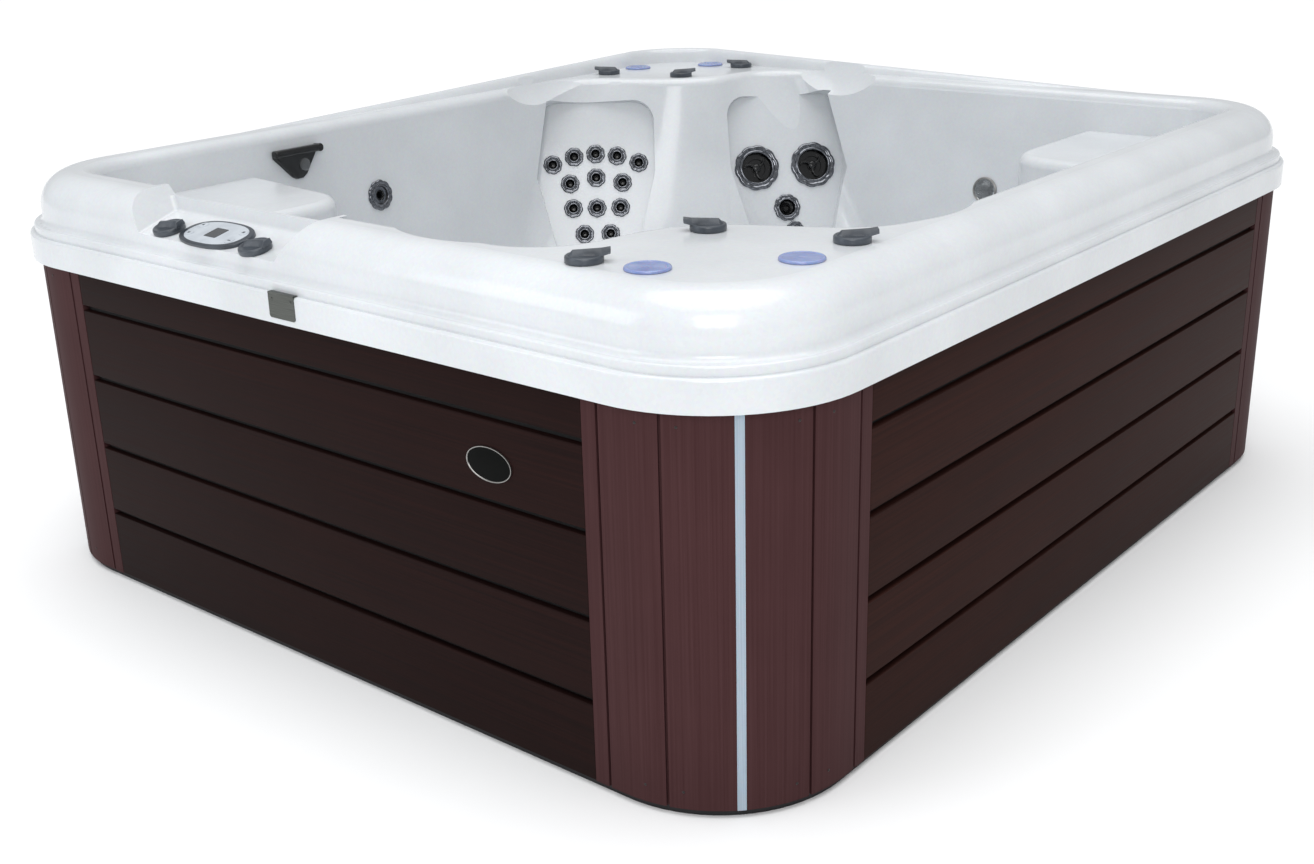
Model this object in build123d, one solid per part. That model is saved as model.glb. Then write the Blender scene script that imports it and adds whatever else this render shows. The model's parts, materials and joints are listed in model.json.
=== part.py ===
# Hot tub: an acrylic shell on a timber frame inside a boarded cabinet, with its controls, jets,
# lights, pump, filter and pipework. Millimetres, Z up, floor at z = 0, origin under the middle.
# The controls face -Y. The well and its two corner decks repeat when turned half round about Z.
from build123d import *
from math import atan2, cos, degrees, pi, radians, sin, sqrt, tan
import os

os.makedirs("parts", exist_ok=True)

# Clearances shared by all pieces
seat_gap = 0.3
running_gap = 0.05
overrun = 20.0

# Cabinet
cabinet_width = 1930.0
cabinet_depth = 2222.0
cabinet_corner_radius = 246.0
panel_thickness = 22.0
panel_end_inset = 307.0
corner_bead_inset = 277.0
floor_gap = 14.0
first_groove_height = 155.0
board_pitch = 144.7
groove_count = 4
groove_width = 11.0
groove_depth = 7.0
joint_width = 5.0
joint_depth = 5.0
light_slot_width = 15.0
light_slot_depth = 8.0
corner_joint_turn = 27.0

# Base pan and timber frame
pan_inset = 10.0
pan_floor = 6.0
pan_ledge_width = 55.0
pan_rib_width = 12.0
pan_rib_pitch = 240.0
sill_height = 40.0
sill_width = 60.0
post_width = 44.0
post_depth = 36.0
sole_height = 34.0

# Shell profile at the rim
rim_height = 830.0
acrylic = 12.0
lip_overhang = 15.0
lip_drop = 166.0
lip_height = 53.0
lip_radius = 6.0
bead_overhang = 5.0
bead_height = 16.0
bead_radius = 4.0
cove_radius = 13.0
coping_inset = 13.0
coping_radius = 67.0

# Raised back left corner of the coping
ridge_rise = 38.0
ridge_outer_inset = 18.0
ridge_crest_inset = 68.0
ridge_foot_inset = 99.0
ridge_root_depth = 45.0
ridge_bury = 4.0
ridge_left_start_share = -0.54
ridge_back_start_share = 0.674

# Bathing well
rim_width = 125.0
mouth_radius = 26.0
well_corner_radius = 120.0
bench_height = 350.0
bench_inset = 45.0
bench_corner_cut = 640.0
bench_wall_shares = (0.32, 0.62)
bench_radius = 34.0
bench_upstand = 40.0
deck_turn_radius = 150.0
deck_back_turn_radius = 120.0
deck_turn_inset = 507.0
deck_back_turn_inset = 444.0
nose_radius = 220.0
nose_centre_left = 114.0
nose_centre_back = 126.0
nose_start_heading = 20.0
nose_end_heading = 80.0
footwell_depth = 240.0
footwell_half_width = 430.0
footwell_half_length = 560.0
footwell_corner_cut = 382.0
footwell_taper = 34.0
footwell_corner_radius = 90.0
footwell_floor_radius = 45.0
bench_edge_radius = 32.0

# Corner shelves, front left and back right
shelf_height = 738.0
shelf_width = 378.0
shelf_length = 413.0
shelf_flare = 48.0
shelf_corner_radius = 110.0
shelf_edge_radius = 22.0

# Seat backs moulded into the two long corner walls
seat_back_width = 324.0
seat_back_top = 160.0
seat_back_shoulder = 40.0
seat_back_bottom = 275.0
seat_back_waist = 205.0
seat_back_recess = 22.0
seat_back_corner_radius = 60.0
seat_plane_height = 625.0
neck_scoop_radius = 125.0
neck_scoop_depth = 30.0
neck_scoop_rise = 285.0

# Seat back planes: shares of the well's half width and half depth, plan heading, lean
lounge_seat_shares = (0.868, 0.512)
lounge_seat_heading = 40.1
lounge_seat_lean = 19.6
massage_seat_shares = (0.426, 0.896)
massage_seat_heading = 47.9
massage_seat_lean = 20.7

# Control ledge sunk into the front coping
ledge_left = -500.0
ledge_right = 10.0
ledge_end_run = 60.0
ledge_drop = 71.0
ledge_slope = 13.5
ledge_back_inset = 112.0
ledge_back_run = 8.0
ledge_crest_drop = 18.0
ledge_end_radius = 9.0

# Control panel
keypad_x = -259.0
keypad_inset = 53.0
keypad_length = 185.0
keypad_width = 100.0
keypad_tip_radius = 16.0
keypad_thickness = 7.0
keypad_edge_radius = 3.0
keypad_body_length = 130.0
keypad_body_width = 62.0
keypad_body_depth = 26.0
display_size = 44.0
display_thickness = 3.0
key_radius = 9.5
key_height = 7.5
key_travel = 0.8
key_proud = 1.4
key_offset_share = 0.32
key_row_share = 0.17
ledge_knob_insets = (41.0, 36.0)
ledge_knob_xs = (-387.0, -126.0)

# Knobs and their valve necks
knob_radius = 30.0
knob_base_height = 9.0
knob_grip_height = 19.0
knob_grip_width = 26.0
knob_flag_length = 14.0
knob_edge_radius = 3.0
knob_ridge_share = 0.2
knob_tail_share = 0.8
knob_stem_radius = 8.0
knob_stem_length = 40.0
valve_radius = 14.0
valve_flange_radius = 24.0
valve_nut_radius = 19.0
valve_flange_height = 4.0

# Deck lights
deck_light_radius = 36.0
deck_light_height = 5.0
deck_light_stub_radius = 27.0
deck_light_stub_depth = 22.0

# Deck fittings of the front right corner: across from the right side, in from the front
deck_light_insets = ((274.0, 122.0), (119.0, 294.0))
deck_knob_insets = ((380.0, 102.0), (355.0, 374.0), (118.0, 430.0))

# Jets
small_jet_radius = 25.5
small_jet_barrel = 13.0
small_jet_throat = 7.0
small_jet_lobes = 8
jet_face = 4.0
jet_barrel_length = 26.0
jet_body_wall = 4.0
jet_body_flange = 6.0
lobe_overlap_share = 0.62
tail_radius = 11.0
tail_bore_radius = 8.0
tail_length = 24.0
large_jet_radius = 62.0
large_jet_barrel = 46.0
large_jet_lobes = 10
large_jet_face = 6.0
large_jet_barrel_length = 34.0
rotor_radius = 37.0
rotor_hub_radius = 12.0
rotor_thickness = 12.0
rotor_spoke_width = 15.0
rotor_pin_radius = 4.0
rotor_clearance = 2.0
rotor_floor = -10.0
rotor_port_radius = 8.0
medium_jet_radius = 37.0
medium_jet_barrel = 24.0
medium_jet_throat = 14.0

# Small jet rows on the lounge seat back: how many, then half spread, height and arch as
# shares of the seat back's width
jet_row_counts = (5, 3, 3, 2)
jet_row_shares = (
    (0.364, 0.059, 0.083),
    (0.222, -0.142, 0.046),
    (0.200, -0.398, 0.0),
    (0.110, -0.617, 0.0),
)

# Large and medium jets on the massage seat back, as shares of the seat back's width
large_jet_shares = ((-0.256, -0.117), (0.235, -0.114))
medium_jet_share = (-0.019, -0.470)
lower_jet_share = (0.037, -0.668)
near_jet_shares = ((-0.26, -0.1), (0.26, -0.1), (0.0, -0.38))

# Left wall and back wall fittings
wall_jet_y = -190.0
wall_jet_height = 637.0
well_light_x = 214.0
well_light_height = 565.0
well_light_radius = 34.0
well_light_stub_radius = 26.0
well_light_stub_depth = 30.0
well_light_face = 5.0
spout_y = -413.0
spout_height = 762.0
spout_width = 137.0
spout_drop = 68.0
spout_proud = 22.0
spout_bar = 17.0
spout_lens_radius = 15.0
spout_lens_height = 5.0
spout_lens_x = 14.0
spout_lens_y = -24.0
spout_tip_share = 0.13
spout_taper = 18.0

# Badge and lip clip
badge_x = 461.0
badge_height = 511.0
badge_length = 98.0
badge_width = 68.0
badge_thickness = 3.0
clip_x = -2.0
clip_width = 68.0
clip_thickness = 2.0
clip_bottom = 674.0
clip_corner_radius = 6.0

# Filter and skimmer under the front left shelf
filter_x = -640.0
filter_y = -790.0
filter_radius = 108.0
filter_wall = 4.0
filter_bottom = 330.0
filter_top = 712.0
throat_y = -800.0
throat_width = 170.0
throat_bottom = 588.0
throat_top = 706.0
throat_flange = 3.0
throat_flange_rim = 9.0
cartridge_radius = 84.0
cartridge_core = 26.0
cartridge_height = 210.0
cartridge_pleats = 28
pleat_depth = 14.0
cartridge_cap = 8.0
weir_thickness = 5.0
weir_height = 88.0
weir_pin_radius = 3.0
weir_barrel_radius = 4.0
weir_side_gap = 1.5
weir_inset = 16.0

# Pump
pump_x = 330.0
pump_y = -800.0
volute_radius = 92.0
volute_length = 66.0
volute_wall = 7.0
pump_port_radius = 31.0
pump_port_length = 30.0
pump_foot_height = 20.0
motor_radius = 78.0
motor_length = 270.0
motor_fin_count = 16
motor_fin_height = 7.0
motor_fin_width = 4.0
motor_fin_share = 0.8
shaft_reach = 60.0
shaft_radius = 8.0
impeller_radius = 68.0
impeller_thickness = 5.0
impeller_blades = 6
impeller_blade_height = 14.0
impeller_blade_width = 5.0
impeller_hub_radius = 16.0
impeller_blade_curve = 60.0

# Control box and heater
pack_x = -330.0
pack_y = -800.0
pack_length = 400.0
pack_depth = 150.0
pack_height = 230.0
pack_edge_radius = 12.0
heater_radius = 34.0
heater_length = 360.0

# Pipes
pipe_radius = 25.0
pipe_bore = 21.0
pipe_bend = 35.0
pipe_small_bend = 25.0
pipe_spacing = 10.0
manifold_offset = 128.0
manifold_back_offset = 48.0
manifold_cut = 348.0
manifold_end = 150.0

# Suction covers in the footwell's front wall
suction_radius = 56.0
suction_dome = 16.0
suction_stub_radius = 28.0
suction_stub_depth = 40.0
suction_x = 150.0
suction_height = 225.0
suction_slot_width = 4.0
suction_slot_count = 7
suction_round_share = 0.45

half_width = cabinet_width / 2
half_depth = cabinet_depth / 2
lip_bottom = rim_height - lip_drop
sill_top = lip_bottom + sill_height
lip_top = lip_bottom + lip_height
bead_top = lip_top + bead_height
coping_underside = rim_height - acrylic
well_half_width = half_width - rim_width
well_half_depth = half_depth - rim_width
panel_top = lip_bottom - seat_gap
wall_height = rim_height - bench_height - bench_upstand
half_turn = Rot(0, 0, 180)


def rounded_plate(outward, bottom, top):
    # A slab of the cabinet's rounded plan, grown outward from the cabinet's face
    plan = RectangleRounded(cabinet_width + 2 * outward, cabinet_depth + 2 * outward,
                            cabinet_corner_radius + outward)
    return Pos(0, 0, bottom) * extrude(plan, top - bottom)


def level_edges(shape, height):
    # The edges that lie flat at one height
    flat = []
    for edge in shape.edges():
        box = edge.bounding_box()
        if abs(box.min.Z - height) < seat_gap and abs(box.max.Z - height) < seat_gap:
            flat.append(edge)
    return flat


def arc_run(centre, radius, start_heading, end_heading, side):
    # Three points of a plan arc walked from one heading to another, bending right (1) or left (-1)
    points = []
    for heading in (start_heading, (start_heading + end_heading) / 2, end_heading):
        turn = radians(heading)
        points.append((centre[0] - side * radius * sin(turn), centre[1] + side * radius * cos(turn)))
    return points


def joined(runs):
    # Arcs joined by straight lines, in order
    chain = [runs[0]]
    for run in runs[1:]:
        chain.append([chain[-1][-1], run[0]])
        chain.append(run)
    return chain


def half_turned_face(chain, height):
    # The closed face of a chain and its copy turned half round
    first = chain[0][0]
    chain = chain + [[chain[-1][-1], (-first[0], -first[1])]]
    edges = []
    for sign in (1, -1):
        for run in chain:
            points = [Vector(sign * x, sign * y, height) for x, y in run]
            edges.append(ThreePointArc(*points) if len(points) == 3 else Line(*points))
    return Face(Wire([edge.edge() for edge in edges]))


def mouth_face(grow):
    # The well's opening: round the front left corner, up the left wall, then the corner deck's nose
    corner = (-well_half_width + well_corner_radius, -well_half_depth + well_corner_radius)
    first_turn = (-well_half_width + deck_turn_radius, well_half_depth - deck_turn_inset)
    nose = (-well_half_width + nose_centre_left, well_half_depth - nose_centre_back)
    last_turn = (-well_half_width + deck_back_turn_inset, well_half_depth - deck_back_turn_radius)
    chain = joined([
        arc_run(corner, well_corner_radius + grow, 180, 90, 1),
        arc_run(first_turn, deck_turn_radius + grow, 90, nose_start_heading, 1),
        arc_run(nose, nose_radius - grow, nose_start_heading, nose_end_heading, -1),
        arc_run(last_turn, deck_back_turn_radius + grow, nose_end_heading, 0, 1),
    ])
    return half_turned_face(chain, rim_height)


def bench_face(grow, height):
    # The well at bench level: the same walls drawn in, and one straight cut across the corner
    left = -well_half_width + bench_inset
    back = well_half_depth - bench_inset
    radius = well_corner_radius
    tangent = radius * tan(radians(22.5))
    start = arc_run((left + radius, back - bench_corner_cut - tangent), radius + grow, 90, 45, 1)
    end = arc_run((left + bench_corner_cut + tangent, back - radius), radius + grow, 45, 0, 1)
    span = (end[0][0] - start[-1][0], end[0][1] - start[-1][1])
    stops = [(start[-1][0] + span[0] * share, start[-1][1] + span[1] * share)
             for share in bench_wall_shares]
    chain = joined([
        arc_run((left + radius, -back + radius), radius + grow, 180, 90, 1),
        start,
        stops,
        end,
    ])
    return half_turned_face(chain, height)


def footwell_face(inset, height, corner_radius):
    # Footwell plan: a rectangle with two opposite corners cut off and all corners rounded
    across = footwell_half_width - inset
    along = footwell_half_length - inset
    cut = footwell_corner_cut - inset * (2 - sqrt(2))
    corners = [(-across, -along), (-across, along - cut), (-across + cut, along),
               (across, along), (across, cut - along), (across - cut, -along)]
    plan = make_face(Polyline(*corners, close=True))
    plan = fillet(plan.vertices(), corner_radius)
    return Pos(0, 0, height) * plan


def shelf_block(grow):
    # The solid shape under the front left shelf, which stands on the bench in the well's corner
    left = -well_half_width - overrun
    front = -well_half_depth - overrun
    right = -well_half_width + shelf_width - grow
    back = -well_half_depth + shelf_length - grow
    top = shelf_height - grow
    bottom = bench_height - overrun
    corners = [(left, front), (right, front), (right, back), (left, back + shelf_flare)]
    plan = make_face(Polyline(*corners, close=True))
    tip = plan.vertices().sort_by(lambda vertex: vertex.X + vertex.Y)[-1]
    plan = fillet(tip, shelf_corner_radius - grow)
    block = Pos(0, 0, bottom) * extrude(plan, top - bottom)
    free = [edge for edge in level_edges(block, top)
            if edge.center().X > -well_half_width and edge.center().Y > -well_half_depth]
    return fillet(free, shelf_edge_radius - grow / 2)


def seat_plane(place_shares, heading, lean):
    # Plane of a seat back on the back left wall: X along the wall, Y up it, Z into the well
    turn = radians(heading)
    tilt = radians(lean)
    origin = (-well_half_width * place_shares[0], well_half_depth * place_shares[1], seat_plane_height)
    into_well = (sin(turn) * cos(tilt), -cos(turn) * cos(tilt), sin(tilt))
    plane = Plane(origin=origin, x_dir=(cos(turn), sin(turn), 0), z_dir=into_well)
    return plane.offset(-seat_back_recess)


lounge_plane = seat_plane(lounge_seat_shares, lounge_seat_heading, lounge_seat_lean)
massage_plane = seat_plane(massage_seat_shares, massage_seat_heading, massage_seat_lean)


def seat_back(plane, grow):
    # A shallow tray with a waisted outline, pressed back into the wall
    half = seat_back_width / 2
    waist = seat_back_waist / 2
    corners = [(-half, seat_back_top), (-half, -seat_back_shoulder), (-waist, -seat_back_bottom),
               (waist, -seat_back_bottom), (half, -seat_back_shoulder), (half, seat_back_top)]
    outline = make_face(Polyline(*corners, close=True))
    outline = fillet(outline.vertices(), seat_back_corner_radius)
    if grow:
        outline = offset(outline, grow)
    depth = seat_back_recess + 2 * overrun + grow
    return plane.location * Pos(0, 0, -grow) * extrude(outline, depth)


def neck_scoop(plane, grow):
    # A ball that hollows the wall and the deck's edge above a seat back
    radius = (neck_scoop_radius ** 2 + neck_scoop_depth ** 2) / (2 * neck_scoop_depth)
    centre = (0, neck_scoop_rise, seat_back_recess + radius - neck_scoop_depth)
    return plane.location * Pos(*centre) * Sphere(radius + grow)


def well_void(grow):
    # The space inside the well; grown by the wall's thickness it gives the well's outer skin
    floor = bench_height - grow
    flare = bench_inset * overrun / wall_height
    mouth = Pos(0, 0, overrun) * mouth_face(grow + flare)
    upstand = bench_height + bench_upstand
    tub = extrude(bench_face(grow, floor), upstand - floor, dir=(0, 0, 1))
    tub = fillet(level_edges(tub, floor), bench_radius + grow)
    void = tub + loft([bench_face(grow, upstand), mouth], ruled=True)
    bottom = bench_height - footwell_depth - grow
    radius = footwell_corner_radius + grow
    footwell = loft([footwell_face(footwell_taper - grow, bottom, radius),
                     footwell_face(-grow, floor, radius)], ruled=True)
    footwell = fillet(level_edges(footwell, bottom), footwell_floor_radius + grow)
    void += footwell
    edge = [line for line in level_edges(void, floor)
            if abs(line.center().X) < footwell_half_width + overrun
            and abs(line.center().Y) < footwell_half_length + overrun]
    void = fillet(edge, bench_edge_radius - grow)
    block = shelf_block(grow)
    void -= block
    void -= half_turn * block
    for plane in (lounge_plane, massage_plane):
        tray = seat_back(plane, grow)
        void += tray
        void += half_turn * tray
    return void


def coping_outside():
    # The shell's outer form seen from outside: bullnose coping, bead and overhanging lip
    coping = rounded_plate(-coping_inset, lip_top, rim_height)
    coping = fillet(level_edges(coping, rim_height), coping_radius)
    lip = rounded_plate(lip_overhang, lip_bottom, lip_top)
    lip = fillet(level_edges(lip, lip_top), lip_radius)
    bead = rounded_plate(bead_overhang, lip_top - lip_radius, bead_top)
    bead = fillet(level_edges(bead, bead_top), bead_radius)
    outside = coping + bead + lip
    foot = [edge for edge in level_edges(outside, bead_top)
            if abs(edge.center().X) < half_width - coping_inset + seat_gap
            and abs(edge.center().Y) < half_depth - coping_inset + seat_gap]
    return fillet(foot, cove_radius)


def ridge_section(rise_share, grow):
    # Half dome of two elliptical quarters, standing on the coping's inside; X is the inset from
    # the cabinet face and Y the height
    root = rim_height - ridge_root_depth
    crest = rim_height - ridge_bury + (ridge_rise + ridge_bury) * rise_share - grow
    outer = ridge_crest_inset - ridge_outer_inset - grow
    inner = ridge_foot_inset - ridge_crest_inset - grow / 2
    shrink = 1 - (1 - rise_share) / 4
    centre = (ridge_crest_inset, root)
    rise = crest - root
    arcs = (EllipticalCenterArc(centre, outer * shrink, rise, start_angle=180, arc_size=-90),
            EllipticalCenterArc(centre, inner * shrink, rise, start_angle=90, arc_size=-90))
    base = Line(arcs[1] @ 1, arcs[0] @ 0)
    return make_face([*arcs, base])


def ridge(grow):
    # The coping's crest climbs along the left and back rims to the back left corner
    corner_y = half_depth - cabinet_corner_radius
    corner_x = -half_width + cabinet_corner_radius

    def left_rim(y):
        return Plane(origin=(-half_width, y, 0), x_dir=(1, 0, 0), z_dir=(0, -1, 0))

    def back_rim(x):
        return Plane(origin=(x, half_depth, 0), x_dir=(0, -1, 0), z_dir=(-1, 0, 0))

    full = ridge_section(1, grow)
    start = ridge_section(0, grow)
    left = loft([left_rim(half_depth * ridge_left_start_share) * start, left_rim(corner_y) * full],
                ruled=True)
    back = loft([back_rim(corner_x) * full, back_rim(half_width * ridge_back_start_share) * start],
                ruled=True)
    turn_axis = Axis((corner_x, corner_y, 0), (0, 0, -1))
    corner = revolve(left_rim(corner_y) * full, turn_axis, 90)
    return left + corner + back


def ledge_tool(grow):
    # The space above the control ledge: a sloping floor, a back wall and a lowered crest,
    # with sloping ends
    front = -half_depth - lip_overhang - overrun
    slope = tan(radians(ledge_slope))
    down = grow / cos(radians(ledge_slope))
    floor = rim_height - ledge_drop - down
    back_inset = ledge_back_inset + grow
    crest_y = -half_depth + back_inset + ledge_back_run
    crest = rim_height - ledge_crest_drop - grow
    well_side = -well_half_depth + overrun
    top = rim_height + overrun
    profile = [(front, floor + slope * (front + half_depth)),
               (-half_depth + back_inset, floor + slope * back_inset),
               (crest_y, crest), (well_side, crest), (well_side, top), (front, top)]
    low = floor - overrun
    end_slope = ledge_end_run / ledge_drop
    left_low = ledge_left - grow + end_slope * (rim_height - low)
    left_top = ledge_left - grow + end_slope * (rim_height - top)
    right_low = ledge_right + grow - end_slope * (rim_height - low)
    right_top = ledge_right + grow - end_slope * (rim_height - top)
    ends = [(left_low, low), (right_low, low), (right_top, top), (left_top, top)]
    length = ledge_right - ledge_left + 4 * overrun
    across = Pos(ledge_left - 2 * overrun, 0, 0) * extrude(
        Plane.YZ * make_face(Polyline(*profile, close=True)), length)
    along = extrude(Plane.XZ * make_face(Polyline(*ends, close=True)), 2 * cabinet_depth, both=True)
    tool = across & along
    bends = [edge for edge in tool.edges()
             if edge.center().Z < crest - seat_gap and edge.center().Y > front + seat_gap
             and edge.bounding_box().min.Z > low + seat_gap]
    return fillet(bends, ledge_end_radius + grow)


def wall_lean():
    return degrees(atan2(bench_inset, wall_height))


def left_wall_plane(y, height):
    # On the leaning left wall of the well: X along +Y, Y up the wall, Z into the well
    lean = radians(wall_lean())
    x = -well_half_width + (rim_height - height) * tan(lean)
    return Plane(origin=(x, y, height), x_dir=(0, 1, 0), z_dir=(cos(lean), 0, sin(lean)))


def back_wall_plane(x, height):
    lean = radians(wall_lean())
    y = well_half_depth - (rim_height - height) * tan(lean)
    return Plane(origin=(x, y, height), x_dir=(1, 0, 0), z_dir=(0, -cos(lean), sin(lean)))


def footwell_front_plane(x, height):
    # On the footwell's front wall, low down in the well: Z into the footwell
    lean = atan2(footwell_taper, footwell_depth)
    y = -footwell_half_length + (bench_height - height) * tan(lean)
    return Plane(origin=(x, y, height), x_dir=(-1, 0, 0), z_dir=(0, cos(lean), sin(lean)))


def ledge_plane(x, inset):
    # On the sloping control ledge: X to the right, Y up the slope, Z out of the ledge
    slope = radians(ledge_slope)
    height = rim_height - ledge_drop + tan(slope) * inset
    return Plane(origin=(x, -half_depth + inset, height), x_dir=(1, 0, 0), z_dir=(0, -sin(slope), cos(slope)))


def deck_plane(side_inset, front_inset, radius, far, flag=0):
    # On the flat top: the front right deck, or the back left one, where a fitting stands clear
    # of the ridge's foot, also when its flag is turned to the side
    if far:
        clear = ridge_foot_inset + radius
        side_inset = max(side_inset, clear + flag)
        front_inset = max(front_inset, clear)
    sign = -1 if far else 1
    origin = (sign * (half_width - side_inset), -sign * (half_depth - front_inset), rim_height)
    return Plane(origin=origin, x_dir=(sign, 0, 0), z_dir=(0, 0, 1))


def turned(plane):
    # The same plane turned half round with the well
    return Plane(half_turn * plane.location)


def on_seat(plane, share):
    return plane.shift_origin(plane.from_local_coords((seat_back_width * share[0], seat_back_width * share[1], 0)))


def lounge_jet_planes():
    planes = []
    for count, (spread, height, arch) in zip(jet_row_counts, jet_row_shares):
        for index in range(count):
            side = 2 * index / (count - 1) - 1
            planes.append(on_seat(lounge_plane, (spread * side, height - arch * side * side)))
    return planes


small_jet_planes = lounge_jet_planes()
large_jet_planes = [on_seat(massage_plane, share) for share in large_jet_shares]
medium_jet_plane = on_seat(massage_plane, medium_jet_share)
lower_jet_plane = on_seat(massage_plane, lower_jet_share)
wall_jet_plane = left_wall_plane(wall_jet_y, wall_jet_height)
near_jet_planes = [turned(on_seat(plane, share))
                   for plane in (lounge_plane, massage_plane) for share in near_jet_shares]
deck_knob_planes = [deck_plane(*insets, knob_radius, far, knob_flag_length)
                    for far in (False, True) for insets in deck_knob_insets]
ledge_knob_planes = [ledge_plane(x, inset) for x, inset in zip(ledge_knob_xs, ledge_knob_insets)]
deck_light_planes = [deck_plane(*insets, deck_light_radius, far)
                     for far in (False, True) for insets in deck_light_insets]
well_light_plane = back_wall_plane(well_light_x, well_light_height)
suction_planes = [footwell_front_plane(x, suction_height) for x in (-suction_x, suction_x)]
keypad_plane = ledge_plane(keypad_x, keypad_inset)
jet_barrels = ([(plane, small_jet_barrel, jet_barrel_length)
                for plane in [*small_jet_planes, lower_jet_plane, wall_jet_plane]]
               + [(plane, large_jet_barrel, large_jet_barrel_length) for plane in large_jet_planes]
               + [(medium_jet_plane, medium_jet_barrel, jet_barrel_length)])


spout_plane = left_wall_plane(spout_y, spout_height)


def peg(plane, radius, low, high):
    # A round bar along the plane's normal
    return plane.location * Pos(0, 0, low) * Cylinder(
        radius, high - low, align=(Align.CENTER, Align.CENTER, Align.MIN))


def shell_holes():
    # Every bored or cut hole through the acrylic, as (plane, radius)
    holes = [(plane, radius + running_gap + jet_body_wall + seat_gap) for plane, radius, length in jet_barrels]
    holes += [(plane, small_jet_barrel + seat_gap) for plane in near_jet_planes]
    holes += [(plane, valve_radius + seat_gap) for plane in deck_knob_planes + ledge_knob_planes]
    holes += [(plane, deck_light_stub_radius + seat_gap) for plane in deck_light_planes]
    holes += [(plane, suction_stub_radius + seat_gap) for plane in suction_planes]
    holes.append((well_light_plane, well_light_stub_radius + seat_gap))
    holes.append((spout_plane, small_jet_barrel + seat_gap))
    return holes


def throat_block(grow, left, right):
    # The skimmer throat's rectangular outline between two X places
    block = Box(right - left, throat_width + 2 * grow, throat_top - throat_bottom + 2 * grow)
    return Pos((left + right) / 2, throat_y, (throat_top + throat_bottom) / 2) * block


def acrylic_shell():
    outside = coping_outside() + ridge(0)
    below_sill = rounded_plate(lip_overhang - acrylic, lip_bottom - overrun, sill_top + seat_gap)
    inner_inset = -coping_inset - acrylic
    under_coping = rounded_plate(inner_inset, sill_top, coping_underside)
    under_coping = fillet(level_edges(under_coping, coping_underside), coping_radius - acrylic)
    table = outside - below_sill - under_coping - ridge(acrylic)
    for plane in (lounge_plane, massage_plane):
        table += neck_scoop(plane, acrylic) & ridge(0)
    slab_top = (rim_height + coping_underside) / 2
    walls = well_void(acrylic)
    for plane in (lounge_plane, massage_plane):
        scoop = neck_scoop(plane, acrylic)
        walls += scoop
        walls += half_turn * scoop
    walls &= rounded_plate(-sill_width - seat_gap, -overrun, slab_top)
    void = well_void(0)
    shell = table + walls - void
    outline = mouth_face(0).outer_wire()
    mouth = [edge for edge in level_edges(shell, rim_height)
             if outline.distance_to(edge @ 0.5) < overrun]
    shell = fillet(mouth, mouth_radius)
    ledge_walls = (ledge_tool(acrylic) & outside) - void
    shell = shell + ledge_walls - ledge_tool(0)
    cuts = [peg(plane, radius, -2 * acrylic - overrun, overrun) for plane, radius in shell_holes()]
    for plane in (lounge_plane, massage_plane):
        scoop = neck_scoop(plane, 0)
        cuts += [scoop, half_turn * scoop]
    cuts.append(keypad_plane.location * Box(
        keypad_body_length + 2 * seat_gap, keypad_body_width + 2 * seat_gap, 4 * overrun))
    throat_face = -well_half_width + shelf_width
    cuts.append(throat_block(seat_gap, throat_face - acrylic - overrun, throat_face + overrun))
    return shell - cuts


def groove_rings():
    # The shadow gaps between the boards of the four long panels
    rings = []
    for index in range(groove_count):
        middle = first_groove_height + index * board_pitch
        bottom = middle - groove_width / 2
        top = middle + groove_width / 2
        rings.append(rounded_plate(overrun, bottom, top) - rounded_plate(-groove_depth, bottom, top))
    return rings


def corner_frames():
    # Each cabinet corner's round centre, with the direction of the square corner from it
    reach_x = half_width - cabinet_corner_radius
    reach_y = half_depth - cabinet_corner_radius
    return [(sx * reach_x, sy * reach_y, sx, sy) for sx, sy in ((-1, -1), (1, -1), (1, 1), (-1, 1))]


def cabinet_skin():
    # The plain upright wall that the corner panels and the long panels are cut from
    return rounded_plate(0, floor_gap, panel_top) - rounded_plate(-panel_thickness, floor_gap, panel_top)


def long_panel(skin, along_x, side):
    # One straight run of boards between two corner panels
    length = 2 * ((half_width if along_x else half_depth) - panel_end_inset) - 2 * seat_gap
    reach = 2 * panel_thickness
    if along_x:
        clip = Pos(0, side * half_depth, rim_height / 2) * Box(length, reach, rim_height)
    else:
        clip = Pos(side * half_width, 0, rim_height / 2) * Box(reach, length, rim_height)
    return skin & clip


def corner_panels(skin):
    # Four rounded corners, each with two upright joints, a bead by each seam and a light's slot
    corners = []
    for centre_x, centre_y, sx, sy in corner_frames():
        clip = Pos(sx * half_width, sy * half_depth, rim_height / 2) * Box(
            2 * panel_end_inset, 2 * panel_end_inset, rim_height)
        corner = skin & clip
        cuts = []
        diagonal = degrees(atan2(sy, sx))
        turn_sign = sx * sy
        for angle, width, depth in ((diagonal - turn_sign * corner_joint_turn, joint_width, joint_depth),
                                    (diagonal + turn_sign * corner_joint_turn, joint_width, joint_depth),
                                    (diagonal, light_slot_width, light_slot_depth)):
            cut = Box(2 * depth, width, 2 * rim_height)
            cuts.append(Pos(centre_x, centre_y, 0) * Rot(0, 0, angle) * Pos(cabinet_corner_radius, 0, 0) * cut)
        bead_x = sx * (half_width - corner_bead_inset)
        bead_y = sy * (half_depth - corner_bead_inset)
        cuts.append(Pos(bead_x, sy * half_depth, 0) * Box(joint_width, 2 * joint_depth, 2 * rim_height))
        cuts.append(Pos(sx * half_width, bead_y, 0) * Box(2 * joint_depth, joint_width, 2 * rim_height))
        corners.append(corner - cuts)
    return Compound(children=corners)


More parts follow.
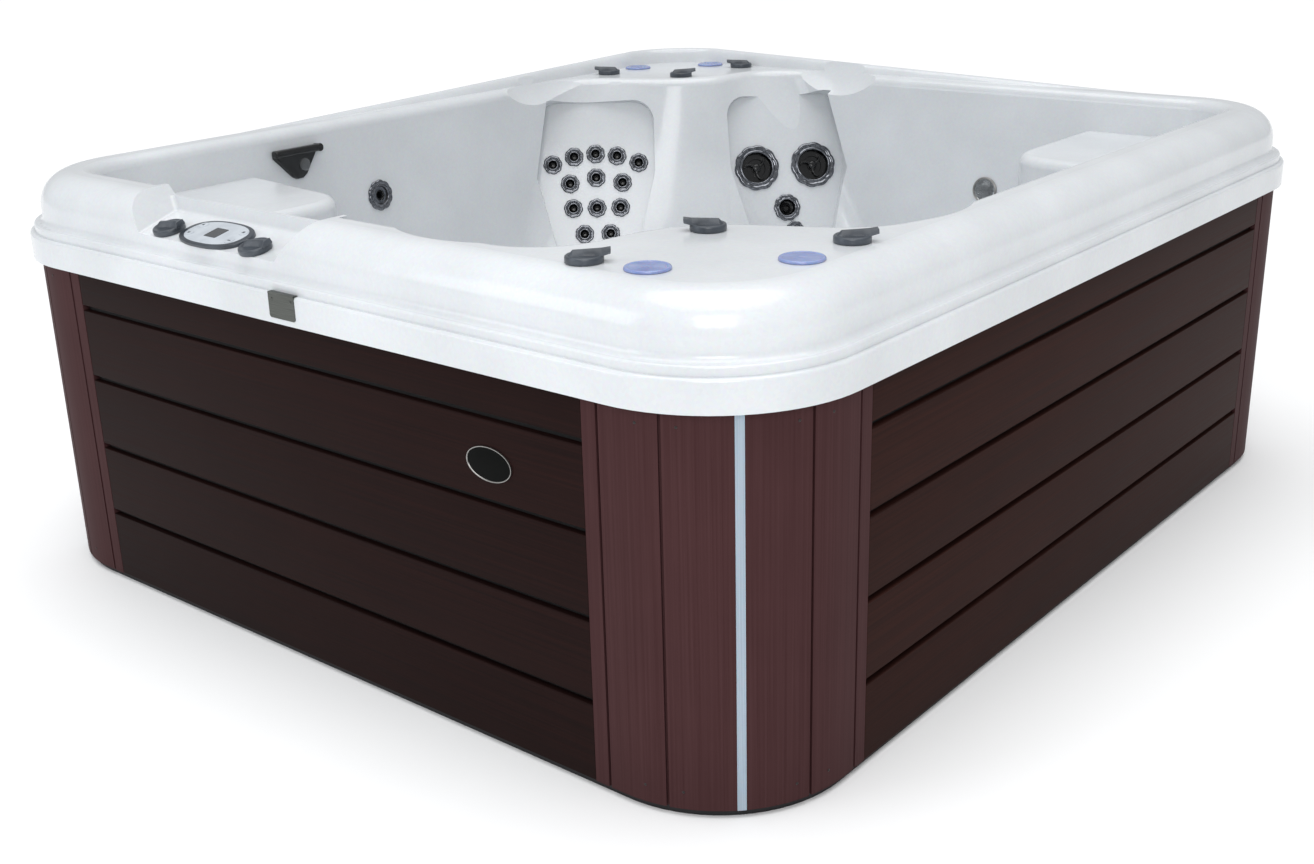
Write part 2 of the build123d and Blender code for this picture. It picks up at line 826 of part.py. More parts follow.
def corner_light_strips():
    # A full-height diffuser bar in each corner's slot, its face rounded with the corner
    strips = []
    depth = light_slot_depth - seat_gap
    width = light_slot_width - 2 * seat_gap
    height = panel_top - floor_gap
    for centre_x, centre_y, sx, sy in corner_frames():
        bar = Pos(cabinet_corner_radius - depth / 2, 0, floor_gap + height / 2) * Box(depth, width, height)
        strips.append(Pos(centre_x, centre_y, 0) * Rot(0, 0, degrees(atan2(sy, sx))) * bar)
    return Compound(children=strips)


def base_pan():
    # A moulded pan: floor, a ledge all round for the boards and the frame, and cross ribs
    floor = rounded_plate(-pan_inset, 0, pan_floor)
    ledge_top = floor_gap - seat_gap
    ledge = rounded_plate(-pan_inset, 0, ledge_top) - rounded_plate(
        -pan_inset - pan_ledge_width, 0, ledge_top)
    pan = floor + ledge
    inside = rounded_plate(-pan_inset - pan_ledge_width / 2, pan_floor / 2, ledge_top)
    ribs = []
    for span, turn in ((cabinet_width, 90), (cabinet_depth, 0)):
        count = int((span - 2 * pan_ledge_width) / pan_rib_pitch)
        for index in range(count):
            place = (index - (count - 1) / 2) * pan_rib_pitch
            ribs.append(Rot(0, 0, turn) * Pos(0, place, ledge_top / 2) * Box(
                2 * cabinet_depth, pan_rib_width, ledge_top))
    grid = Part() + ribs
    return pan + (grid & inside)


def cabinet_frame():
    # Timber sole and sill rings with posts between them behind every seam
    back = -panel_thickness - seat_gap
    sole_top = floor_gap + sole_height
    sole = rounded_plate(back, floor_gap, sole_top) - rounded_plate(back - post_depth, floor_gap, sole_top)
    sill = rounded_plate(0, lip_bottom, sill_top) - rounded_plate(-sill_width, lip_bottom, sill_top)
    members = [sole, sill]
    height = lip_bottom - sole_top
    middle = (lip_bottom + sole_top) / 2
    for side in (-1, 1):
        for place in (-1, 0, 1):
            post_x = place * (half_width - panel_end_inset)
            post_y = place * (half_depth - panel_end_inset)
            members.append(Pos(post_x, side * (half_depth + back - post_depth / 2), middle) * Box(
                post_width, post_depth, height))
            members.append(Pos(side * (half_width + back - post_depth / 2), post_y, middle) * Box(
                post_depth, post_width, height))
    return Compound(children=members)


def badge_plate():
    # A blank oval plate with a raised rim on the front panel
    face = Plane(origin=(badge_x, -half_depth - seat_gap, badge_height), x_dir=(1, 0, 0), z_dir=(0, -1, 0))
    plate = extrude(Ellipse(badge_length / 2, badge_width / 2), badge_thickness)
    rim = badge_thickness
    field = extrude(Ellipse(badge_length / 2 - rim, badge_width / 2 - rim), badge_thickness)
    return face.location * (plate - Pos(0, 0, badge_thickness / 2) * field)


def cover_clip():
    # A folded plate hooked over the lip
    face_y = -half_depth - lip_overhang - seat_gap
    top = lip_top + seat_gap
    reach = lip_overhang - bead_overhang
    plate_height = top - clip_bottom + clip_thickness
    plate = Pos(clip_x, face_y - clip_thickness / 2, clip_bottom + plate_height / 2) * Box(
        clip_width, clip_thickness, plate_height)
    plate = fillet(plate.edges().filter_by(Axis.Y).group_by(Axis.Z)[0], clip_corner_radius)
    hook = Pos(clip_x, face_y - clip_thickness + reach / 2, top + clip_thickness / 2) * Box(
        clip_width, reach, clip_thickness)
    return plate + hook


def keypad_outline(grow):
    # A lens: two wide arcs meeting at rounded tips
    half = keypad_length / 2
    rise = keypad_width / 2
    radius = (half ** 2 + rise ** 2) / (2 * rise)
    lens = (Pos(0, rise - radius) * Circle(radius)) & (Pos(0, radius - rise) * Circle(radius))
    lens = fillet(lens.vertices(), keypad_tip_radius)
    return offset(lens, grow) if grow else lens


def key_places():
    return [(sx * keypad_length * key_offset_share, sy * keypad_width * key_row_share)
            for sx in (-1, 1) for sy in (-1, 1)]


def keypad_housing():
    plate = Pos(0, 0, seat_gap) * extrude(keypad_outline(0), keypad_thickness)
    plate = fillet(level_edges(plate, seat_gap + keypad_thickness), keypad_edge_radius)
    body = Pos(0, 0, seat_gap - keypad_body_depth / 2) * Box(
        keypad_body_length, keypad_body_width, keypad_body_depth)
    housing = plate + body
    top = seat_gap + keypad_thickness
    window = Box(display_size + 2 * seat_gap, display_size + 2 * seat_gap, 2 * display_thickness)
    cuts = [Pos(0, 0, top) * window]
    pocket = key_height - key_proud + key_travel + seat_gap
    for x, y in key_places():
        cuts.append(Pos(x, y, top - pocket) * Cylinder(
            key_radius + running_gap, 2 * pocket, align=(Align.CENTER, Align.CENTER, Align.MIN)))
    return keypad_plane.location * (housing - cuts)


def display_window():
    top = seat_gap + keypad_thickness
    pane = Pos(0, 0, top - display_thickness / 2) * Box(
        display_size, display_size, display_thickness - 2 * seat_gap)
    return keypad_plane.location * pane


def key_cap(place):
    top = seat_gap + keypad_thickness + key_proud
    cap = Cylinder(key_radius, key_height)
    cap = fillet(cap.edges().sort_by(Axis.Z)[-1], key_proud / 2)
    return keypad_plane.location * Pos(place[0], place[1], top - key_height / 2) * cap


def knob(plane):
    # Round base, a grip with two slanting sides, a pointer flag and a stem
    base = peg(Plane.XY, knob_radius, seat_gap + valve_flange_height + seat_gap,
               valve_flange_height + knob_base_height)
    base = fillet(base.edges().sort_by(Axis.Z)[-1], knob_edge_radius)
    foot = valve_flange_height + knob_base_height - knob_edge_radius
    half = knob_grip_width / 2
    profile = [(-half, foot), (half, foot), (half * knob_ridge_share, foot + knob_grip_height),
               (-half * knob_ridge_share, foot + knob_grip_height)]
    section = Plane.XZ * make_face(Polyline(*profile, close=True))
    reach = knob_radius + knob_flag_length
    grip = Pos(0, reach, 0) * extrude(section, reach + knob_radius * knob_tail_share)
    stem = peg(Plane.XY, knob_stem_radius, seat_gap - knob_stem_length, foot)
    return plane.location * (base + grip + stem)


def valve_neck(plane, nut_radius):
    # A neck through the acrylic with a flange on top, bored for the knob's stem
    neck = peg(Plane.XY, valve_radius, -knob_stem_length - jet_body_wall, seat_gap)
    flange = peg(Plane.XY, valve_flange_radius, seat_gap, seat_gap + valve_flange_height)
    nut_top = -acrylic - 2 * seat_gap
    nut = peg(Plane.XY, nut_radius, nut_top - valve_flange_height, nut_top)
    bore = peg(Plane.XY, knob_stem_radius + running_gap, -knob_stem_length, overrun)
    return plane.location * (neck + flange + nut - bore)


def jet_housing(plane, barrel_radius, barrel_length):
    # The fixed cup behind each jet's face, with a nut behind the acrylic and a water tail
    outer = barrel_radius + running_gap + jet_body_wall
    depth = barrel_length + seat_gap
    cup = peg(Plane.XY, outer, -depth - jet_body_wall, 0)
    nut_top = -acrylic - 2 * seat_gap
    nut = peg(Plane.XY, outer + jet_body_flange, nut_top - valve_flange_height, nut_top)
    bore = peg(Plane.XY, barrel_radius + running_gap, -depth, overrun)
    tail = peg(Plane.XY, tail_radius, -depth - jet_body_wall - tail_length, -depth)
    tail_bore = peg(Plane.XY, tail_bore_radius, -depth - jet_body_wall - tail_length - overrun, 0)
    return plane.location * ((cup + nut + tail) - bore - tail_bore)


def jet_and_valve_bodies():
    bodies = [jet_housing(*barrel) for barrel in jet_barrels]
    bodies += [valve_neck(plane, valve_nut_radius) for plane in deck_knob_planes]
    bodies += [valve_neck(plane, valve_radius) for plane in ledge_knob_planes]
    return Compound(children=bodies)


def lobed_plate(radius, lobes, thickness):
    # A scalloped round plate: a ring of overlapping discs round a core
    lobe = radius * pi / lobes * lobe_overlap_share
    reach = radius - lobe
    outline = Circle(reach)
    for index in range(lobes):
        turn = radians(360 * index / lobes)
        outline += Pos(reach * cos(turn), reach * sin(turn)) * Circle(lobe)
    return Pos(0, 0, seat_gap) * extrude(outline, thickness)


def jet_face_piece(plane, radius, lobes, face, barrel_radius, barrel_length, throat):
    # A turning jet face: scalloped rim, domed nose with a throat, and a barrel in the housing
    plate = lobed_plate(radius, lobes, face)
    nose = peg(Plane.XY, barrel_radius, -barrel_length, face + seat_gap + face / 2)
    nose = fillet(nose.edges().sort_by(Axis.Z)[-1], face / 3)
    bore = peg(Plane.XY, throat, -barrel_length - overrun, 2 * face + overrun)
    return plane.location * (plate + nose - bore)


def large_jet_ring(plane):
    # Open ring with a rear web that carries the rotor's pin
    plate = lobed_plate(large_jet_radius, large_jet_lobes, large_jet_face)
    barrel = peg(Plane.XY, large_jet_barrel, -large_jet_barrel_length, seat_gap + large_jet_face)
    bowl = peg(Plane.XY, rotor_radius + rotor_clearance, rotor_floor, overrun)
    pin = peg(Plane.XY, rotor_pin_radius, rotor_floor, rotor_floor + rotor_thickness)
    ports = []
    for index in range(3):
        ports.append(Rot(0, 0, 120 * index) * Pos(rotor_radius / 2, 0, 0) * peg(
            Plane.XY, rotor_port_radius, -large_jet_barrel_length - overrun, rotor_floor + overrun))
    return plane.location * (plate + barrel - bowl - ports + pin)


def jet_rotor(plane):
    # Three broad spokes swept back from a hub that spins on the pin
    floor = rotor_floor + seat_gap
    hub = peg(Plane.XY, rotor_hub_radius, floor, floor + rotor_thickness)
    spoke = Pos(rotor_radius / 2, rotor_hub_radius / 2) * RectangleRounded(
        rotor_radius, rotor_spoke_width, rotor_spoke_width / 3)
    disc = Circle(rotor_radius)
    spokes = [Rot(0, 0, 120 * index) * (spoke & disc) for index in range(3)]
    wheel = hub + [Pos(0, 0, floor) * extrude(blade, rotor_thickness - seat_gap) for blade in spokes]
    return plane.location * (wheel - peg(Plane.XY, rotor_pin_radius + running_gap, floor - overrun, overrun))


def near_seat_jets():
    # Fixed nozzles in the two near seats, each one moulding with its stub
    nozzles = []
    for plane in near_jet_planes:
        plate = lobed_plate(small_jet_radius, small_jet_lobes, jet_face)
        stub = peg(Plane.XY, small_jet_barrel, -acrylic - jet_barrel_length, seat_gap + jet_face)
        bore = peg(Plane.XY, small_jet_throat, -acrylic - jet_barrel_length - overrun, overrun)
        nozzles.append(plane.location * (plate + stub - bore))
    return Compound(children=nozzles)


def deck_light_lenses():
    lenses = []
    for plane in deck_light_planes:
        disc = peg(Plane.XY, deck_light_radius, seat_gap, seat_gap + deck_light_height)
        disc = fillet(disc.edges().sort_by(Axis.Z)[-1], deck_light_height / 2)
        stub = peg(Plane.XY, deck_light_stub_radius, -deck_light_stub_depth, seat_gap)
        lenses.append(plane.location * (disc + stub))
    return Compound(children=lenses)


def well_light():
    rim = peg(Plane.XY, well_light_radius, seat_gap, seat_gap + well_light_face)
    rim = fillet(rim.edges().sort_by(Axis.Z)[-1], well_light_face / 2)
    stub = peg(Plane.XY, well_light_stub_radius, -well_light_stub_depth, seat_gap)
    return well_light_plane.location * (rim + stub)


def waterfall_spout():
    # A wedge-shaped spout: a thick top bar rounded at one end, over a body that narrows down
    half = spout_width / 2
    bar_outline = Pos(0, spout_bar / 2) * RectangleRounded(spout_width, spout_bar, spout_bar / 3)
    tip = spout_width * spout_tip_share
    body_outline = make_face(Polyline((-tip, -spout_drop + spout_bar), (tip, -spout_drop + spout_bar),
                                      (half - spout_bar, spout_bar / 2),
                                      (-half + spout_bar / 2, spout_bar / 2), close=True))
    body_outline = fillet(body_outline.vertices().group_by(Axis.Y)[0], spout_bar / 2)
    bar = Pos(0, 0, seat_gap) * extrude(bar_outline, spout_proud)
    body = Pos(0, 0, seat_gap) * extrude(body_outline, spout_proud / 2, taper=spout_taper)
    stub = peg(Plane.XY, small_jet_barrel, -acrylic - overrun, seat_gap)
    seat = Pos(spout_lens_x, spout_lens_y, 0) * peg(
        Plane.XY, spout_lens_radius / 2 + seat_gap, spout_proud / 4, 2 * spout_proud)
    return spout_plane.location * (bar + body + stub - seat)


def waterfall_lens():
    lens = Pos(spout_lens_x, spout_lens_y, 0) * (
        peg(Plane.XY, spout_lens_radius, spout_proud / 2 + 2 * seat_gap, spout_proud / 2 + spout_lens_height)
        + peg(Plane.XY, spout_lens_radius / 2, spout_proud / 4 + seat_gap, spout_proud / 2 + spout_lens_height))
    return spout_plane.location * lens


def suction_covers():
    # Domed drain covers with slots, in the footwell's front wall
    covers = []
    for plane in suction_planes:
        disc = peg(Plane.XY, suction_radius, seat_gap, seat_gap + suction_dome)
        disc = fillet(disc.edges().sort_by(Axis.Z)[-1], suction_dome * suction_round_share)
        stub = peg(Plane.XY, suction_stub_radius, -suction_stub_depth, seat_gap)
        bore = peg(Plane.XY, suction_stub_radius - jet_body_wall, -suction_stub_depth - overrun, suction_dome / 2)
        slots = []
        for index in range(suction_slot_count):
            place = (index - (suction_slot_count - 1) / 2) * suction_slot_width * 2
            slots.append(Pos(place, 0, suction_dome) * Box(suction_slot_width, suction_stub_radius, suction_dome))
        covers.append(plane.location * (disc + stub - bore - slots))
    return Compound(children=covers)


def filter_housing():
    # A wet canister under the front left shelf, with a square throat to the skimmer's opening
    face_x = -well_half_width + shelf_width
    can = Pos(filter_x, filter_y, filter_bottom) * Cylinder(
        filter_radius, filter_top - filter_bottom, align=(Align.CENTER, Align.CENTER, Align.MIN))
    hollow = Pos(filter_x, filter_y, filter_bottom + filter_wall) * Cylinder(
        filter_radius - filter_wall, filter_top - filter_bottom - 2 * filter_wall,
        align=(Align.CENTER, Align.CENTER, Align.MIN))
    duct = throat_block(0, filter_x + filter_radius / 2, face_x + seat_gap)
    flange = throat_block(throat_flange_rim, face_x + seat_gap, face_x + seat_gap + throat_flange)
    passage = throat_block(-filter_wall, filter_x, face_x + overrun)
    spigot = Pos(filter_x, filter_y, filter_bottom - tail_length) * Cylinder(
        pipe_radius, tail_length + filter_wall, align=(Align.CENTER, Align.CENTER, Align.MIN))
    spigot_bore = Pos(filter_x, filter_y, filter_bottom - tail_length - overrun) * Cylinder(
        pipe_bore, tail_length + 2 * overrun, align=(Align.CENTER, Align.CENTER, Align.MIN))
    hinge_x = face_x - weir_inset
    hinge_z = throat_bottom + filter_wall + weir_pin_radius + weir_side_gap
    pin_hole = Pos(hinge_x, throat_y, hinge_z) * Rot(90, 0, 0) * Cylinder(
        weir_pin_radius + running_gap, throat_width - filter_wall)
    return can + duct + flange + spigot - hollow - passage - spigot_bore - pin_hole


def skimmer_weir():
    # A flap across the throat, hinged on two pins at its bottom edge
    face_x = -well_half_width + shelf_width
    hinge_x = face_x - weir_inset
    hinge_z = throat_bottom + filter_wall + weir_pin_radius + weir_side_gap
    width = throat_width - 2 * filter_wall - 2 * weir_side_gap
    flap = Pos(hinge_x, throat_y, hinge_z + weir_height / 2) * Box(weir_thickness, width, weir_height)
    barrel = Pos(hinge_x, throat_y, hinge_z) * Rot(90, 0, 0) * Cylinder(weir_barrel_radius, width)
    pins = Pos(hinge_x, throat_y, hinge_z) * Rot(90, 0, 0) * Cylinder(
        weir_pin_radius, throat_width - filter_wall - 2 * seat_gap)
    return flap + barrel + pins


def filter_cartridge():
    # Pleated paper round an open core between two caps, standing in the canister
    corners = []
    for index in range(2 * cartridge_pleats):
        turn = pi * index / cartridge_pleats
        radius = cartridge_radius - (pleat_depth if index % 2 else 0)
        corners.append((radius * cos(turn), radius * sin(turn)))
    pleats = extrude(make_face(Polyline(*corners, close=True)), cartridge_height)
    cap = Cylinder(cartridge_radius, cartridge_cap, align=(Align.CENTER, Align.CENTER, Align.MIN))
    core = Cylinder(cartridge_core, 2 * cartridge_height)
    cartridge = pleats + cap + Pos(0, 0, cartridge_height - cartridge_cap) * cap - core
    return Pos(filter_x, filter_y, filter_bottom + filter_wall + seat_gap) * cartridge


pump_axis_height = floor_gap + pump_foot_height + volute_radius
pump_plane = Plane(origin=(pump_x, pump_y, pump_axis_height), x_dir=(0, 1, 0), z_dir=(1, 0, 0))


def pump_body():
    # The wet end: a round volute with a suction port on its axis and a pressure port on top
    half = volute_length / 2
    volute = peg(Plane.XY, volute_radius, -half, half)
    volute = fillet(volute.edges().filter_by(GeomType.CIRCLE), volute_wall)
    hollow = peg(Plane.XY, volute_radius - volute_wall, volute_wall - half, half - volute_wall)
    inlet = peg(Plane.XY, pump_port_radius, -half - pump_port_length, -half + volute_wall)
    inlet_bore = peg(Plane.XY, pipe_bore, -half - pump_port_length - overrun, 0)
    seal_bore = peg(Plane.XY, shaft_radius + running_gap, 0, half + overrun)
    body = pump_plane.location * (volute + inlet)
    up = Plane(origin=pump_plane.origin, z_dir=(0, 0, 1))
    outlet = peg(up, pump_port_radius, volute_radius - volute_wall, volute_radius + pump_port_length)
    outlet_bore = peg(up, pipe_bore, 0, volute_radius + pump_port_length + overrun)
    foot = Pos(pump_x, pump_y, (floor_gap + pump_foot_height) / 2 + floor_gap / 2) * Box(
        volute_length, volute_radius, pump_foot_height + 2 * volute_wall)
    foot &= Pos(pump_x, pump_y, floor_gap + rim_height / 2) * Box(rim_height, rim_height, rim_height)
    cuts = [pump_plane.location * solid for solid in (hollow, inlet_bore, seal_bore)]
    return body + outlet + foot - cuts - outlet_bore


def pump_motor():
    # A finned motor on a foot behind the volute, bored for the shaft
    start = volute_length / 2 + seat_gap
    case = peg(Plane.XY, motor_radius - motor_fin_height, start, start + motor_length)
    fins = []
    for index in range(motor_fin_count):
        fin = Pos(motor_radius - motor_fin_height, 0, start + motor_length / 2) * Box(
            2 * motor_fin_height, motor_fin_width, motor_length * motor_fin_share)
        fins.append(Rot(0, 0, 360 * index / motor_fin_count) * fin)
    bore = peg(Plane.XY, shaft_radius + running_gap, start - overrun, start + shaft_reach + seat_gap)
    foot_height = pump_axis_height - floor_gap - motor_radius / 2
    foot_x = pump_x + start + motor_length / 2
    foot = Pos(foot_x, pump_y, floor_gap + foot_height / 2) * Box(
        motor_length * motor_fin_share, motor_radius, foot_height)
    return pump_plane.location * (case + fins - bore) + foot


def pump_impeller():
    # Backswept blades on a disc, with the shaft that runs into the motor
    floor = volute_length / 2 - volute_wall - 2 * seat_gap - impeller_thickness
    disc = peg(Plane.XY, impeller_radius, floor, floor + impeller_thickness)
    hub = peg(Plane.XY, impeller_hub_radius, floor - impeller_blade_height, floor + impeller_thickness)
    ring = Circle(impeller_blade_curve) - Circle(impeller_blade_curve - impeller_blade_width)
    blade = (Pos(impeller_hub_radius, -impeller_blade_curve) * ring) & (
        Circle(impeller_radius) - Circle(impeller_hub_radius - seat_gap))
    blade &= Pos(impeller_radius / 2, 0) * Rectangle(impeller_radius, impeller_radius)
    blades = [Rot(0, 0, 360 * index / impeller_blades) * Pos(0, 0, floor - impeller_blade_height) * extrude(
        blade, impeller_blade_height + seat_gap) for index in range(impeller_blades)]
    shaft = peg(Plane.XY, shaft_radius, floor, volute_length / 2 + shaft_reach)
    return pump_plane.location * (disc + hub + blades + shaft)


pack_top = floor_gap + pack_height
heater_height = pack_top + seat_gap + heater_radius


def spa_pack():
    # The control box, and the heater tube along its top with a coupling at each end
    box = Box(pack_length, pack_depth, pack_height)
    box = fillet(box.edges().filter_by(Axis.Z), pack_edge_radius)
    box = Pos(pack_x, pack_y, floor_gap + pack_height / 2) * box
    tube = Cylinder(heater_radius, heater_length)
    for side in (-1, 1):
        tube += Pos(0, 0, side * (heater_length / 2 + pump_port_length / 2)) * Cylinder(
            pump_port_radius, pump_port_length)
    bore = Cylinder(pipe_bore, 2 * heater_length)
    heater = Pos(pack_x, pack_y, heater_height) * Rot(0, 90, 0) * (tube - bore)
    return Compound(children=[box, heater])


def pipe(points, bend_radius):
    # A tube along straight runs joined by bends
    route = FilletPolyline(*points, radius=bend_radius) if len(points) > 2 else Line(*points)
    section = Circle(pipe_radius) - Circle(pipe_bore)
    return sweep(Plane(origin=route @ 0, z_dir=route % 0) * section, path=route)


def plumbing():
    # Suction from the footwell and the filter, pressure through the heater to the far seats
    stub_lean = atan2(footwell_taper, footwell_depth)
    stub_end = -suction_stub_depth - seat_gap - suction_stub_radius * sin(stub_lean)
    left_stub = Vector(suction_planes[0].from_local_coords((0, 0, stub_end)))
    right_stub = Vector(suction_planes[1].from_local_coords((0, 0, stub_end)))
    level = right_stub.Z
    inlet_x = pump_x - volute_length / 2 - pump_port_length - seat_gap
    suction_y = pack_y + pack_depth / 2 + pipe_radius + pipe_spacing
    suction = pipe([right_stub, (suction_x, pump_y, level), (suction_x, pump_y, pump_axis_height),
                    (inlet_x, pump_y, pump_axis_height)], pipe_bend)
    cross = pipe([(filter_x, filter_y, filter_bottom - tail_length - seat_gap), (filter_x, filter_y, level),
                  (filter_x, suction_y, level), (suction_x - pipe_radius - seat_gap, suction_y, level)], pipe_bend)
    branch = pipe([left_stub, (-suction_x, suction_y + pipe_radius + seat_gap, level)], pipe_bend)
    outlet_top = pump_axis_height + volute_radius + pump_port_length + seat_gap
    heater_end = heater_length / 2 + pump_port_length + seat_gap
    pressure = pipe([(pump_x, pump_y, outlet_top), (pump_x, pump_y, heater_height),
                     (pack_x + heater_end, pump_y, heater_height)], pipe_small_bend)
    west = -footwell_half_width - acrylic - manifold_offset
    north = footwell_half_length + acrylic + manifold_back_offset
    manifold = pipe([(pack_x - heater_end, pump_y, heater_height), (west, pump_y, heater_height),
                     (west, north - manifold_cut, heater_height), (west + manifold_cut, north, heater_height),
                     (manifold_end, north, heater_height)], pipe_small_bend)
    return Compound(children=[suction, cross, branch, pressure, manifold])


skin = cabinet_skin()
grooved_skin = skin - groove_rings()
pieces = {
    "acrylic_shell": acrylic_shell(),
    "base_pan": base_pan(),
    "cabinet_frame": cabinet_frame(),
    "service_panel": long_panel(grooved_skin, True, -1),
    "back_panel": long_panel(grooved_skin, True, 1),
    "left_panel": long_panel(grooved_skin, False, -1),
    "right_panel": long_panel(grooved_skin, False, 1),
    "corner_panels": corner_panels(skin),
    "corner_light_strips": corner_light_strips(),
    "badge_plate": badge_plate(),
    "cover_clip": cover_clip(),
    "keypad_housing": keypad_housing(),
    "display_window": display_window(),
    "deck_light_lenses": deck_light_lenses(),
    "jet_and_valve_bodies": jet_and_valve_bodies(),
    "massage_jet_centre": jet_face_piece(
        medium_jet_plane, medium_jet_radius, large_jet_lobes, jet_face,
        medium_jet_barrel, jet_barrel_length, medium_jet_throat),
    "massage_jet_low": jet_face_piece(
        lower_jet_plane, small_jet_radius, small_jet_lobes, jet_face,
        small_jet_barrel, jet_barrel_length, small_jet_throat),
    "wall_jet": jet_face_piece(
        wall_jet_plane, small_jet_radius, small_jet_lobes, jet_face,
        small_jet_barrel, jet_barrel_length, small_jet_throat),
    "near_seat_jets": near_seat_jets(),
    "waterfall_spout": waterfall_spout(),
    "waterfall_lens": waterfall_lens(),
    "well_light": well_light(),
    "suction_covers": suction_covers(),
    "filter_housing": filter_housing(),
    "filter_cartridge": filter_cartridge(),
    "skimmer_weir": skimmer_weir(),
    "pump_body": pump_body(),
    "pump_motor": pump_motor(),
    "pump_impeller": pump_impeller(),
    "spa_pack": spa_pack(),
    "plumbing": plumbing(),
}
for index, place in enumerate(key_places()):
    pieces[f"key_{index + 1}"] = key_cap(place)
for index, plane in enumerate(deck_knob_planes + ledge_knob_planes):
    pieces[f"knob_{index + 1}"] = knob(plane)
for index, plane in enumerate(small_jet_planes):
    pieces[f"lounge_jet_{index + 1}"] = jet_face_piece(
        plane, small_jet_radius, small_jet_lobes, jet_face,
        small_jet_barrel, jet_barrel_length, small_jet_throat)
for side, plane in zip(("left", "right"), large_jet_planes):
    pieces[f"massage_ring_{side}"] = large_jet_ring(plane)
    pieces[f"massage_rotor_{side}"] = jet_rotor(plane)

for node, solid in pieces.items():
    export_step(solid, f"parts/{node}.step")
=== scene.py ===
import bmesh
import bpy
import json
from math import cos, pi, radians, sin, tau
from mathutils import Matrix, Vector


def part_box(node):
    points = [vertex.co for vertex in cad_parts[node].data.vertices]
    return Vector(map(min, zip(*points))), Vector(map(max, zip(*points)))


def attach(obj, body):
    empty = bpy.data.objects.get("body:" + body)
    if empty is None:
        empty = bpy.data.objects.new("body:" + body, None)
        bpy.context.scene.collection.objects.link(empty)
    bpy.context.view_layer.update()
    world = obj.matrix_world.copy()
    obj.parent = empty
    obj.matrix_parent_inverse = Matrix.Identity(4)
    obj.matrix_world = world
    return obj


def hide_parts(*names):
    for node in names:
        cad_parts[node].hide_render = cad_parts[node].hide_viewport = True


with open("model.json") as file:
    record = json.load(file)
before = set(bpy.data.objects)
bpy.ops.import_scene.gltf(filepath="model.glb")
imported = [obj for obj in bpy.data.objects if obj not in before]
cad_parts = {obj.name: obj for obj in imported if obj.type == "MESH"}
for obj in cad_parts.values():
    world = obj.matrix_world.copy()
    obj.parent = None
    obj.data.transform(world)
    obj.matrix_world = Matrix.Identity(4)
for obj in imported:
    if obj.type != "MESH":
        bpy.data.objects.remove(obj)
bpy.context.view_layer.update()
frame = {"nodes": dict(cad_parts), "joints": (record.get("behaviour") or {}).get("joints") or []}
nodes = frame["nodes"]
joints = {joint["child"]: joint for joint in frame["joints"]}
mm = 0.001
print("frame loaded,", len(nodes), "nodes")


# Camera, worked out for a picture of 1314 by 864: place in metres, angles in degrees
cameraSettings = {
    "place": (2.1276, -2.7129, 1.3918),
    "azimuth": 39.613,
    "elevation": 19.973,
    "roll": -1.46,
    "focalPixels": 1574.67,
    "pictureWidth": 1314,
    "sensorWidth": 36,
    "clipEnd": 100,
}


def makeCamera(settings):
    azimuth, elevation, roll = (radians(settings[key]) for key in ("azimuth", "elevation", "roll"))
    forward = Vector((-sin(azimuth) * cos(elevation), cos(azimuth) * cos(elevation), -sin(elevation)))
    right = Vector((cos(azimuth), sin(azimuth), 0))
    up = right.cross(forward)
    tiltedRight = right * cos(roll) + up * sin(roll)
    tiltedUp = up * cos(roll) - right * sin(roll)
    data = bpy.data.cameras.new("photoCamera")
    data.sensor_width = settings["sensorWidth"]
    data.lens = settings["sensorWidth"] * settings["focalPixels"] / settings["pictureWidth"]
    data.clip_end = settings["clipEnd"]
    camera = bpy.data.objects.new("photoCamera", data)
    camera.matrix_world = Matrix((
        (tiltedRight.x, tiltedUp.x, -forward.x, settings["place"][0]),
        (tiltedRight.y, tiltedUp.y, -forward.y, settings["place"][1]),
        (tiltedRight.z, tiltedUp.z, -forward.z, settings["place"][2]),
        (0, 0, 0, 1)))
    bpy.context.scene.collection.objects.link(camera)
    bpy.context.scene.camera = camera


makeCamera(cameraSettings)
print("camera made")


# Studio light: two large soft boxes, a ceiling of soft boxes as one wide light, and a pale surround
softBoxes = {
    "nearCorner": {
        "place": (2.5, -3.2, 2.5), "aim": (0.5, -0.7, 0.6), "size": 1.6, "power": 42, "colour": "#FFFFFF"},
    "frontLeft": {
        "place": (-2.0, -4.4, 2.2), "aim": (-0.3, -0.8, 0.5), "size": 2.2, "power": 32, "colour": "#F6FAFF"},
}
ceilingLight = {"energy": 1.75, "angle": 60, "height": 4}
surround = {"colour": "#F4F6F8", "strength": 0.56}


def linearColour(hexCode):
    channels = [int(hexCode[i:i + 2], 16) / 255 for i in (1, 3, 5)]
    return tuple(c / 12.92 if c <= 0.04045 else ((c + 0.055) / 1.055) ** 2.4 for c in channels) + (1,)


def addLamp(name, data, place):
    lamp = bpy.data.objects.new(name, data)
    lamp.location = place
    bpy.context.scene.collection.objects.link(lamp)
    return lamp


def makeLights():
    for name, light in softBoxes.items():
        data = bpy.data.lights.new(name, "AREA")
        data.shape = "RECTANGLE"
        data.size = data.size_y = light["size"]
        data.energy = light["power"]
        data.color = linearColour(light["colour"])[:3]
        aim = Vector(light["aim"]) - Vector(light["place"])
        addLamp(name, data, light["place"]).rotation_euler = aim.to_track_quat("-Z", "Y").to_euler()
    data = bpy.data.lights.new("ceiling", "SUN")
    data.energy = ceilingLight["energy"]
    data.angle = radians(ceilingLight["angle"])
    addLamp("ceiling", data, (0, 0, ceilingLight["height"]))


